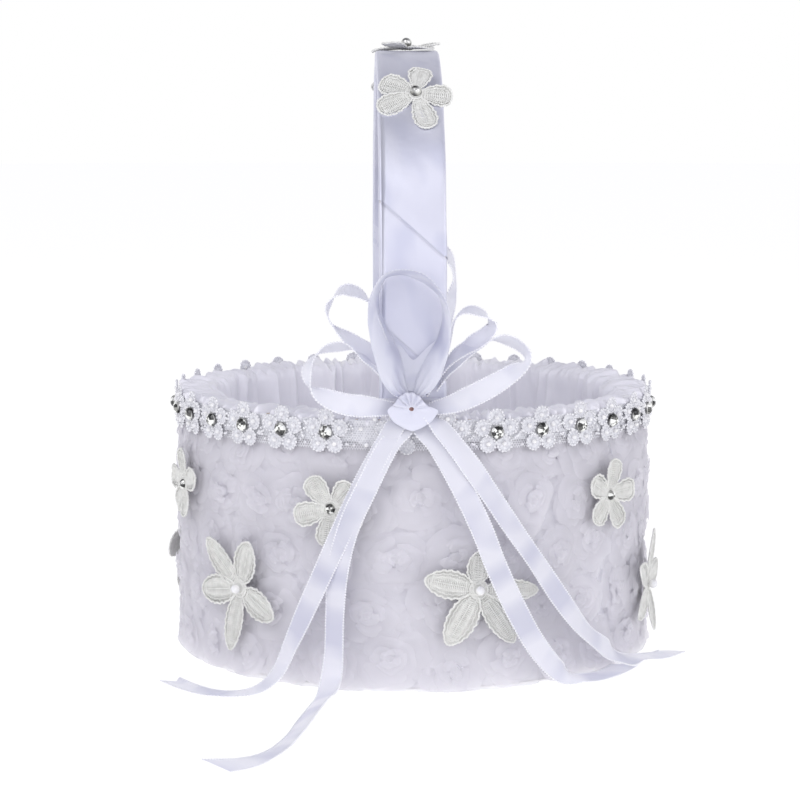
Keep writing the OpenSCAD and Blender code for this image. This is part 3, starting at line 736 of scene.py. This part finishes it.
# ---------------------------------------------------------------- stones and beaded trim
def brilliant():
    """A cut stone: table, star facets, crown and girdle, radius 1 and height 1."""
    turn8 = np.arange(8) * TAU / 8
    turn16 = np.arange(16) * TAU / 16
    faces = []
    table = np.stack([0.5 * np.cos(turn8), 0.5 * np.sin(turn8), np.full(8, 1.0)], -1)
    crown = np.stack([0.8 * np.cos(turn16), 0.8 * np.sin(turn16), np.full(16, 0.66)], -1)
    girdle = np.stack([np.cos(turn16), np.sin(turn16), np.full(16, 0.22)], -1)
    foot = girdle * [1, 1, 0]
    centre = np.array([0, 0, 1.0])
    for i in range(8):
        a, b = table[i], table[(i + 1) % 8]
        left, middle, right = crown[2 * i], crown[2 * i + 1], crown[(2 * i + 2) % 16]
        faces += [[centre, a, b], [a, left, middle], [a, middle, b], [b, middle, right]]
    for i in range(16):
        k = (i + 1) % 16
        faces += [[crown[i], girdle[i], girdle[k]], [crown[i], girdle[k], crown[k]],
            [girdle[i], foot[i], foot[k]], [girdle[i], foot[k], girdle[k]]]
    return np.array(faces)


def stones(shape, rng, centres, axes, radius, height):
    """Cut stones: facets side by side share a tone of painted reflection, and no points are shared
    between facets.
    """
    faces = brilliant() * [radius, radius, height]
    middle = faces.mean(1)
    sector = (np.arctan2(middle[:, 1], middle[:, 0]) // (TAU / 8)).astype(int) % 8
    table = np.arange(len(faces)) < 32
    table = table & (np.arange(len(faces)) % 4 == 0)
    for centre, axis in zip(centres, axes):
        spin = rng.uniform(0, TAU)
        spun = faces @ np.array([[math.cos(spin), math.sin(spin), 0],
            [-math.sin(spin), math.cos(spin), 0], [0, 0, 1]])
        sides = rng.permutation(SIDE_REFLECTIONS)
        flat = rng.permutation(TABLE_REFLECTIONS)
        tone = np.where(table, flat[sector], sides[sector]) + rng.normal(0, 0.07, len(faces))
        tone = np.repeat(np.clip(tone, 0, 1), 3)
        shape.add(spun.reshape(-1, 3) @ axis + centre,
            tris=np.arange(len(faces) * 3).reshape(-1, 3), tone=tone)


def cups(shape, centres, axes, radius, height, prongs=4):
    """Silver cups: a low round wall, a rolled edge and prongs over the stone."""
    bead = ball(6, 4)
    for centre, axis in zip(centres, axes):
        wall = round_rows(radius * CUP_WALL[:, 0], height * CUP_WALL[:, 1], 24)
        shape.grid(wall @ axis + centre, round_u=True)
        turn = (np.arange(prongs) + 0.5) * TAU / prongs
        tips = xyz(radius * 0.94 * np.cos(turn), radius * 0.94 * np.sin(turn), height * 1.1)
        shape.copies(bead, tips @ axis + centre, 0.34)


def bead_petal(rng, angle):
    """The ring of beads of one petal of the trim, and the round net ground inside it."""
    lean = rng.uniform(-0.2, 0.6)
    x, y = math.cos(angle) * (LOOP_AT + 0.5), math.sin(angle) * (LOOP_AT + 0.5)
    turn = np.arange(RING_BEADS) * TAU / RING_BEADS
    out = (np.cos(turn) + 1) / 2
    reach = LOOP_R + 0.15 * out + rng.normal(0, 0.05, RING_BEADS)
    ring = xyz(x + reach * np.cos(angle + turn), y + reach * np.sin(angle + turn),
        BEAD_R + lean * out + rng.normal(0, 0.06, RING_BEADS))
    turn = once_round(18)
    share = np.array([0.02, 0.5, 0.86, 1.0])[:, None] * (LOOP_R + 0.45)
    cup = 0.25 + lean * (share * np.cos(turn) / LOOP_R + 1) / 2
    disk = xyz(x + share * np.cos(angle + turn), y + share * np.sin(angle + turn),
        cup + 0.25 * (share / LOOP_R) ** 2)
    return ring, disk


def trim_flower(rng, last):
    """A flower's beads and grounds in its own frame, with loose beads before the next flower."""
    rings, grounds = zip(*(bead_petal(rng, math.radians(90 + 72 * k)) for k in range(5)))
    between = (np.arange(5) + 0.5) * TAU / 5 + math.pi / 2
    beads = [*rings, xyz(4.6 * np.cos(between), 4.6 * np.sin(between), BEAD_R + 0.1)]
    if not last:
        beads.append(xyz(np.linspace(9.2, 13.4, 12), rng.uniform(-6.5, 4.5, 12), BEAD_R))
    return np.concatenate(beads), [*grounds, round_rows([0.02, 2.5, 5.0], [0.15] * 3, 24)]


def on_tape(local, axes, middle):
    """From a trim flower's own frame onto the wall, bent a little to its curve."""
    local = np.array(local, float)
    local[..., 2] -= 0.6 * local[..., 0] ** 2 / (2 * TAPE_R)
    return local @ axes + middle


def make_trim():
    """Flowers of seed beads on net: five beaded petals round a stone, side by side."""
    rng = np.random.default_rng(44)
    beads, cup_shape, stone_shape, ground, tape = (Shape() for _ in range(5))
    bead = ball(8, 5)
    centres, all_axes = [], []
    for i in range(TRIM_COUNT):
        last = i == TRIM_COUNT - 1
        azimuth = TRIM_START + i * TRIM_STEP + (UNDER_BOW if last else 0)
        axes, middle = wall_axes(azimuth), wall_point(azimuth, TAPE_R + 0.1, TRIM_Z)
        local, grounds = trim_flower(rng, last)
        for piece in grounds:
            ground.grid(on_tape(piece, axes, middle), round_u=True)
        size = rng.uniform(0.88, 1.08, len(local)) * BEAD_R
        beads.copies(bead, on_tape(local, axes, middle), size)
        centres.append(wall_point(azimuth, TAPE_R + 1.5, TRIM_Z))
        all_axes.append(axes)
    beads.build("trim_seed_beads", SEED, "seed_beads", ["trim_petals"])
    cups(cup_shape, centres, all_axes, STONE_R, 1.2)
    cup_shape.build("trim_cups", SILVER, "silver", ["trim_stone_cups"])
    lifted = [centre + axes[2] * 0.8 for centre, axes in zip(centres, all_axes)]
    stones(stone_shape, rng, lifted, all_axes, STONE_R, STONE_H)
    stone_shape.build("trim_rhinestones", STONE, "rhinestone", ["trim_stones"], smooth=False)
    turn = once_round(720)
    scallop = np.cos((turn - math.radians(TRIM_START)) * 360 / TRIM_STEP)
    share = np.linspace(0, 1, 7)[:, None]
    high = TRIM_Z - 5.6 - 1.8 * scallop + (11.6 + 1.8 * scallop) * share
    ground.grid(ring_points(turn, TAPE_R - 0.45 + 0.1 * np.cos(turn * 90), high), round_u=True)
    hex_net(tape, TAPE_R - 0.25, TRIM_Z - 8.0, TRIM_Z + 6.5, 1.2, 0.27, rng, 0.15)
    return [tape.build("trim_net_tape", NET, "net", ["trim_tape"]),
        ground.build("trim_petal_ground", GAUZE, "net")]


# ---------------------------------------------------------------- lace flowers
def lace_petal(lines, fill, axes, centre, angle, length, wide, pointed, bend, root):
    """One petal of guipure: a corded outline, cross threads, veins and a net ground."""
    direction = np.array([math.cos(angle), math.sin(angle), 0])
    across = np.array([-math.sin(angle), math.cos(angle), 0])

    def half(s):
        wavy = wide * (1 + 0.05 * np.sin(s * length * 1.7 + angle))
        if pointed:
            return wavy * 2.41 * s ** 0.62 * (1 - s) ** 0.65
        return wavy * 1.36 * s ** 0.55 * np.clip(1 - s ** 3.6, 0, 1) ** 0.5

    def surface(s, t, lift=0.0):
        s, t = np.broadcast_arrays(np.asarray(s, float), np.asarray(t, float))
        run = root + (length - root) * s
        flat = run[..., None] * direction + (t * half(s))[..., None] * across
        rise = bend * s ** 1.6 + 0.9 * (t ** 2) * half(s) / wide + lift
        rise = rise - LACE_DROOP * flat[..., 0] ** 2 / (2 * LACE_R)
        flat[..., 2] = rise
        return flat @ axes + centre

    def cord(share, thick, lift, low=0.0):
        """A cord that follows the petal's edge at a share of its width."""
        s = np.concatenate([np.linspace(low, 1, 60) ** 0.9, (np.linspace(1, low, 60) ** 0.9)[1:-1]])
        s = low + (s - low) * (1 - (1 - share) * 0.55)
        t = np.concatenate([np.full(60, share), np.full(58, -share)])
        path = surface(s, t, lift)
        run = distances(path)
        even = np.arange(0, run[-1], 0.42)
        path = sample(even, run, path)
        lines.tube(path, thick * (1 + 0.3 * np.sin(even * TAU / 1.5)), 6, True, axes[2])

    cord(1.0, 0.5, 0.2)
    cord(0.72, 0.34, 0.25, 0.12)
    rows = max(8, int(length / 1.15))
    for mirror in (1, -1):
        legs = np.linspace(0.10, 0.93, rows * 4)
        zigzag = 0.88 * mirror * (2 * np.abs((np.arange(rows * 4) / 4) % 2 - 1) - 1)
        lines.tube(surface(legs, zigzag, 0.25), 0.3, 4, False, axes[2])
    for t in (-0.45, 0.0, 0.45) if pointed else (0.0,):
        span = np.linspace(0.04, 0.9 if t == 0 else 0.78, 18)
        lines.tube(surface(span, t, 0.3), 0.3, 5, False, axes[2])
    s = np.linspace(0.01, 0.985, 14)[:, None]
    t = np.linspace(-0.97, 0.97, 8)[None]
    fill.grid(surface(s, t))


def lace_flower(name, centre, axes, petals, replaces, root=2.5, hub=4.2):
    """petals: angle in degrees, length, half width, pointed, bend out at the tip."""
    lines, fill = Shape(), Shape()
    for angle, *petal_shape in petals:
        lace_petal(lines, fill, axes, centre, math.radians(angle), *petal_shape, root)
    turn = np.linspace(0, TAU, 30, endpoint=False)
    for radius, thick in ((hub, 0.5), (hub * 0.62, 0.45)):
        ring = xyz(radius * np.cos(turn), radius * np.sin(turn), 0.45)
        lines.tube(ring @ axes + centre, thick, 6, True, axes[2])
    middle = round_rows(hub * np.array([0.01, 0.5, 1.0]), [0.5] * 3, 24)
    fill.grid(middle @ axes + centre, round_u=True)
    lines.build(name, LACE, "lace", replaces)
    fill.build(name + "_ground", LACE_FILL, "lace")


def make_lace():
    rng = np.random.default_rng(61)
    seen = {
        0: [(69, 25, 6.6, 3.0), (138, 34.5, 5.8, 1.0), (190, 28.5, 6.8, 0.5), (259, 31.5, 5.4, 1.5),
            (334, 25.5, 6.4, 2.5)],
        1: [(94, 18.5, 5.2, 4.0), (167, 26, 6.4, 1.5), (239, 29, 6.8, 1.0), (304, 32, 5.4, 0.5),
            (356, 29, 4.8, 1.0)],
        2: [(82, 27, 5.0, 2.4), (20, 20, 6.0, 2.4), (150, 24, 5.0, 2.0), (215, 24, 5.4, 1.0),
            (284, 25, 5.6, 3.0)],
    }
    names = ["front_left", "front_right", "right", "back_right", "back_left", "left"]
    for i, (azimuth, name) in enumerate(zip(LONG_AZ, names)):
        petals = seen.get(i)
        if petals is None:
            petals = [(90 + 72 * k + i * 24 + rng.normal(0, 5), rng.uniform(24, 30),
                rng.uniform(5.6, 7), rng.uniform(0.5, 4.5)) for k in range(5)]
        petals = [(a, min(length, 31), wide, True, bend) for a, length, wide, bend in petals]
        lace_flower(f"lace_{name}", wall_point(azimuth, LACE_R, LONG_Z[i]), wall_axes(azimuth),
            petals, [f"lace_flower_{name}"])
    names = ["left", "front_left", "front_right", "right", "back", "back_left"]
    for i, (azimuth, name) in enumerate(zip(ROUND_AZ, names)):
        petals = [(90 + 72 * k + i * 31 + rng.normal(0, 3), rng.uniform(15.5, 17.5), 5.6, False,
            rng.uniform(0.5, 3.5)) for k in range(5)]
        lace_flower(f"bloom_{name}", wall_point(azimuth, LACE_R, ROUND_Z), wall_axes(azimuth),
            petals, [f"lace_bloom_{name}"], 1.8, 3.4)
    shape = Shape()
    centres = [wall_point(a, LACE_R + 1.0, ROUND_Z) for a in ROUND_AZ]
    axes = [wall_axes(a) for a in ROUND_AZ]
    stones(shape, rng, centres, axes, STONE_R * 0.82, STONE_H)
    shape.build("lace_rhinestones", STONE, "rhinestone", ["lace_stones"], smooth=False)


# ---------------------------------------------------------------- handle
def turned(points):
    """The handle stands a little turned about its front leg."""
    x, y = points[..., 0], points[..., 1] + HANDLE_R
    c, s = math.cos(HANDLE_TURN), math.sin(HANDLE_TURN)
    return np.stack([c * x - s * y, s * x + c * y - HANDLE_R, points[..., 2]], -1)


def band_point(run, side, out):
    """A place on the band: how far along it, how far to the side, how far out from its middle."""
    leg = ARCH_Z - WRAP_FOOT
    bow = math.pi * HANDLE_R
    run = np.asarray(run, float)
    angle = np.clip((run - leg) / HANDLE_R, 0, math.pi)
    down = np.clip(run - leg - bow, 0, None)
    height = np.where(run < leg, WRAP_FOOT + run, ARCH_Z - down)
    y = -(HANDLE_R + out) * np.cos(angle)
    z = height + (HANDLE_R + out) * np.sin(angle)
    return turned(xyz(side, y, z))


def wrap_section():
    """The band's outline with round corners, and how far the wrap has run along at each point."""
    half, thick, corner = HANDLE_W / 2, HANDLE_T / 2, np.linspace(0, math.pi / 2, 7)
    flat, edge = half - WRAP_ROUND, thick - WRAP_ROUND
    front = [(x, thick) for x in np.linspace(-flat, flat, 15)]
    right = [(flat + WRAP_ROUND * math.sin(a), edge + WRAP_ROUND * math.cos(a))
        for a in corner[1:]]
    right += [(flat + WRAP_ROUND * math.cos(a), -edge - WRAP_ROUND * math.sin(a))
        for a in corner]
    back = [(-x, -thick) for x, _ in front]
    left = [(-x, -y) for x, y in right]
    loop = np.array(front + right + back + left)
    onward = np.roll(loop, -1, 0) - loop
    # The seam slants less across the front than across the back, and least at the edges
    slope = np.where(np.abs(onward[:, 0]) > 1.0, np.where(onward[:, 0] > 0, 0.885, 0.93), 0.47)
    fall = np.concatenate([[0], np.cumsum(np.linalg.norm(onward, axis=1) * slope)])
    return loop, fall


def make_wrap():
    """A satin ribbon wound round the band in a spiral; each turn overlaps the one before."""
    half, thick = HANDLE_W / 2, HANDLE_T / 2
    loop, fall = wrap_section()
    pitch = fall[-1]
    length = 2 * (ARCH_Z - WRAP_FOOT) + math.pi * HANDLE_R
    turns = int(length / pitch) + 6
    first = WRAP_SEAM - 4 * pitch
    index = np.arange(turns * len(loop))
    side, out = loop[index % len(loop), 0], loop[index % len(loop), 1]
    down = fall[index % len(loop)] + pitch * (index // len(loop))
    across = np.concatenate([[0, 0.3], np.linspace(1.2, 51, 18), np.linspace(52.5, 57.5, 11),
        [62, WRAP_STRIP]])
    run = first + pitch * turns - down[None] + across[:, None] - pitch * 3
    inside = (run > -1) & (run < length + 1)
    run = np.clip(run, 0, length)
    proud = 0.36 * np.clip(1 - (across[:, None] / 12.0) ** 2, 0, 1)
    proud = proud - 0.34 * np.exp(-((across[:, None] - 55) / 1.1) ** 2)
    # No seam shows over the top of the arch
    proud = proud * np.interp(run, [204, 214, length - 150, length - 120], [1, 0.05, 0.05, 1])
    proud = proud + 0.1 * np.sin(run * 0.13 + side * 0.1) * np.cos(side * 0.2)
    norm_out = np.sign(out) * np.clip(np.abs(out) / thick, 0, 1)
    norm_side = np.sign(side) * np.clip((np.abs(side) - (half - WRAP_ROUND)) / WRAP_ROUND, 0, 1)
    points = band_point(run, side + proud * norm_side * 0.6, out + proud * norm_out)
    cloth = xyz(across[:, None], down[None] * 1.5, 0.0)
    keep = inside.any(0)
    shape = Shape()
    shape.grid(points[:, keep], cloth=cloth[:, keep])
    piece = shape.build("handle_satin", SATIN, "wide_ribbon", ["handle_wrap"])


def make_arch_flowers():
    """Round-petalled lace flowers on the arch; the front one is tipped a little towards the front."""
    for angle, name, aside, tip, facing in zip(ARCH_FLOWERS, ["front", "top", "back"], ARCH_SIDE,
            ARCH_TIP, ARCH_PETALS):
        a = math.radians(angle)
        place = np.array([0, -math.cos(a), math.sin(a)]) * (ARCH_OUT + 0.5 + tip / 14)
        a = math.radians(angle - tip)
        out = np.array([0, -math.cos(a), math.sin(a)])
        high = np.array([0, math.sin(a), math.cos(a)])
        axes = turned(np.stack([[1, 0, 0], high, out]) + [0, -HANDLE_R, 0]) + [0, HANDLE_R, 0]
        centre = turned((place + [aside, 0, ARCH_Z])[None])[0]
        petals = [(turn, length, 5.6, False, bend) for turn, length, bend in facing]
        lace_flower(f"handle_lace_{name}", centre, axes, petals, [f"handle_flower_{name}"], 1.8, 3.0)


# ---------------------------------------------------------------- ribbons
def catmull(rows, steps):
    rows = np.array(rows, float)
    ends = np.concatenate([rows[:1], rows, rows[-1:]])
    out = []
    for a, b, c, d in zip(ends[:-3], ends[1:-2], ends[2:-1], ends[3:]):
        for t in np.arange(steps) / steps:
            out.append(0.5 * (2 * b + (c - a) * t + (2 * a - 5 * b + 4 * c - d) * t * t
                + (3 * b - a - 3 * c + d) * t ** 3))
    out.append(rows[-1])
    return np.array(out)


def ribbon_lines(rows, width, pinched, steps=12):
    """Points, half-width vectors and normals along a ribbon, evenly spaced."""
    line = catmull(rows, steps)
    points, wide = line[:, :3], line[:, 3:]
    last = len(line) - 1
    before = points[np.clip(np.arange(last + 1) - 1, 0, last)]
    along = points[np.clip(np.arange(last + 1) + 1, 0, last)] - before
    along /= np.linalg.norm(along, axis=1)[:, None]
    size = np.full(len(line), width / 2) if width else np.linalg.norm(wide, axis=1) / 2
    wide = wide - (wide * along).sum(1)[:, None] * along
    wide /= np.linalg.norm(wide, axis=1)[:, None]
    if pinched:
        from_end = np.minimum(np.arange(last + 1), last - np.arange(last + 1)) / steps
        size = size * np.minimum(1, 0.5 + 0.35 * from_end)
    normal = np.cross(along, wide)
    return distances(points), points, wide * size[:, None], normal


def make_ribbon(name, rows, width=RIBBON_W, pinched=False, cut=None, cup=0.35, folds=None,
        columns=13, valley=0.0, painted_highlight=0.0):
    """
    A satin ribbon with a corded edge. cut(t) is how much is cut off its end at place t.
    valley joins the two strands of a loop along their back edges, this far from the knot; such a loop is
    also given painted shade round its top.
    """
    run, points, half, normal = ribbon_lines(rows, width, pinched)
    total = run[-1]
    even = np.linspace(0, total, int(total / 1.2) + 2)[:, None]
    t = np.linspace(-1, 1, columns)[None]

    def surface(even, t):
        even, t = np.broadcast_arrays(even, t)
        lost = cut(t) if cut else 0 * t
        late = np.clip(even - (total - CUT_REACH), 0, None)
        even = even - late * lost / CUT_REACH
        middle, across, out = (sample(even, run, values) for values in (points, half, normal))
        lift = cup * (1 - t ** 2)
        if folds:
            lift = lift + folds(even, total, t)
        return middle + across * t[..., None] + out * lift[..., None]

    shape = Shape()
    wide = np.linalg.norm(half, axis=1).mean()
    cloth = xyz(t * wide, even, 0.0)
    # Painted highlight: a tail is painted lighter just below the knot, and a little darker further on
    tone = 0.5 + painted_highlight * (1.3 * np.exp(-((even - 24) / 14) ** 2) - 0.25) + 0 * t
    if valley:
        # Painted shade: the wide loop is painted darker round its top
        tone = tone - 0.17 * np.exp(-((even - total / 2) / 16) ** 2)
    shape.grid(surface(even, t), cloth=cloth, tone=tone.ravel())
    if valley:
        share = np.linspace(0, 1, 13)[None]
        rise = np.linspace(0, 1, 16)[:, None] * (valley - 0.45 * valley * np.sin(math.pi * share))
        left, right = surface(rise, -1.0), surface(total - rise, -1.0)
        sheet = left + (right - left) * share[..., None]
        sheet[..., 1] += 1.1 * np.sin(math.pi * share) * rise / valley
        shape.grid(sheet, cloth=sheet[..., [0, 2, 1]] * [1, 1, 0])
    kind = "narrow_ribbon" if width else "wide_ribbon"
    piece = shape.build(name + "_satin", RIBBON if width else WIDE_SATIN, kind, [name])
    edge = Shape()
    thick = 0.32 if width else 0.16
    fine = np.arange(0.3, total - 0.2, 0.26)
    for side in (-0.985, 0.985):
        path = surface(fine, np.full_like(fine, side))
        edge.tube(path, thick * (1 + 0.8 * np.sin(fine * TAU / PICOT_STEP)), 6, False,
            sample(fine, run, normal))
    edging = edge.build(name + "_edge", SELVAGE if width else WIDE_SATIN, kind)


def knot_folds(even, total, t):
    """Small pleats where the wide loop is gathered at the knot."""
    near = np.minimum(even, total - even)
    return 0.9 * np.clip(1 - near / 17, 0, 1) ** 1.4 * np.cos(t * math.pi * 3.5 + near * 0.12)


def make_patch():
    """The folded patch of ribbon round the pin: it spreads into the two pairs of tails."""
    t = np.linspace(-1, 1, 81)[None]
    s = np.linspace(0, 1, 44)[:, None]
    spread = np.sin(2.1 * s)
    left = -9.0 - 2.4 * spread
    right = 6.0 + 5.4 * spread
    x = (left + right) / 2 + (right - left) / 2 * t
    top = KNOT_TOP - 5.8 * np.abs(t) ** 2.2 + 0.6 * np.abs(np.sin(t * 7.5)) - 0.3
    bottom = KNOT_FOOT + 5.2 * np.abs(t) ** 1.3 + 2.6 * np.abs(t) ** 9
    height = top + (bottom - top) * s
    reach = np.hypot(x + 0.6, height - KNOT_Z)
    around = np.arctan2(x + 0.6, height - KNOT_Z)
    above = np.clip((height - KNOT_Z + 1.0) / 3.0, 0, 1)
    saw = 1 - 2 * np.abs((around * 2.2 + 0.16 * np.sin(around * 2.3)) % 1 - 0.3)
    pleat = (0.05 + 1.1 * above) * saw * np.clip((reach - 1.4) / 1.6, 0, 1)
    pleat = pleat * np.exp(-((reach - 4.5) / 4.4) ** 2)
    dent = 0.9 * np.exp(-(reach / 1.9) ** 2)
    fall = np.clip((137 - height) / 16.5, 0, 1.1)
    y = -120.2 - 7.6 * fall ** 0.85 + dent - pleat + 0.5 * np.exp(-((x - 0.3) / 2.2) ** 2) * fall
    y = y + 1.0 * np.clip((s - 0.8) / 0.2, 0, 1) ** 2 + 2.4 * np.clip(np.abs(t) - 0.82, 0, 1)
    shape = Shape()
    shape.grid(xyz(x, y, height), cloth=xyz(x, height, 0.0))
    piece = shape.build("bow_knot_satin", KNOT_SATIN_PAINTED_SHADE, "narrow_ribbon", ["bow_knot"])


def make_pin():
    """A low round head, and a shank that goes back into the handle."""
    pin = Shape()
    turn = once_round(16)
    share = np.array([0.02, 0.55, 0.9, 1.0, 0.35, 0.35])[:, None]
    deep = np.array([-122.6, -122.4, -122.0, -121.6, -121.5, -112.0])[:, None]
    points = xyz(1.8 * share * np.cos(turn) - 0.7, deep, 1.3 * share * np.sin(turn) + KNOT_Z)
    pin.grid(points, round_u=True)
    pin.build("bow_pin_head", COPPER, "copper", ["bow_pin"])


def make_band():
    """The band that ties the bow round the foot of the handle."""
    band = Shape()
    turn = once_round(60)
    high = np.linspace(-3.5, 3.5, 9)[:, None]
    corner = 3.2
    half_w, half_t = HANDLE_W / 2 + 0.7, HANDLE_T / 2 + 0.7
    radius = 1 / ((np.abs(np.cos(turn)) / half_w) ** corner
        + (np.abs(np.sin(turn)) / half_t) ** corner) ** (1 / corner)
    squeeze = 1 + 0.03 * np.cos(high * 1.8)
    points = xyz(radius * np.cos(turn) * squeeze, radius * np.sin(turn) * squeeze - HANDLE_R,
        high + KNOT_Z)
    band.grid(turned(points), round_u=True, cloth=xyz(high, turn * 10, 0.0))
    wrap = band.build("bow_band_satin", RIBBON, "narrow_ribbon", ["bow_band"])


def swallow_cut(t):
    """A ribbon end cut to a notch."""
    return 7.0 * (1 - np.abs(t))


def slant_cut(t):
    """A ribbon end cut at a slant."""
    return 4.5 * (1 + t)


def make_bow():
    make_patch()
    make_pin()
    make_band()
    make_ribbon("wide_loop", WIDE_LOOP, 0, cup=0.0, folds=knot_folds, columns=29, valley=23.0)
    for name, rows in LOOPS.items():
        make_ribbon(name, rows, pinched=True)
    for name, rows in TAILS.items():
        cut = swallow_cut if name == "tail_left_outer" else slant_cut
        make_ribbon(name, rows, cut=cut, painted_highlight=0.3)


# ---------------------------------------------------------------- assembly
def finish_cad(node, material):
    """A CAD node whose shape is right gets its material."""
    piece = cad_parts[node]
    piece.data.materials.clear()
    piece.data.materials.append(material)


make_bow()
lining = make_lining()
make_floor()
make_skin()
make_rosettes()
tape = make_trim()
make_lace()
make_wrap()
make_arch_flowers()
for node, material in (("base_board", BOARD), ("wall_core", BOARD), ("handle_core", BOARD),
        ("handle_staples", SILVER), ("handle_beads", SILVER), ("trim_pearls", PEARL),
        ("lace_pearls", PEARL)):
    finish_cad(node, material)
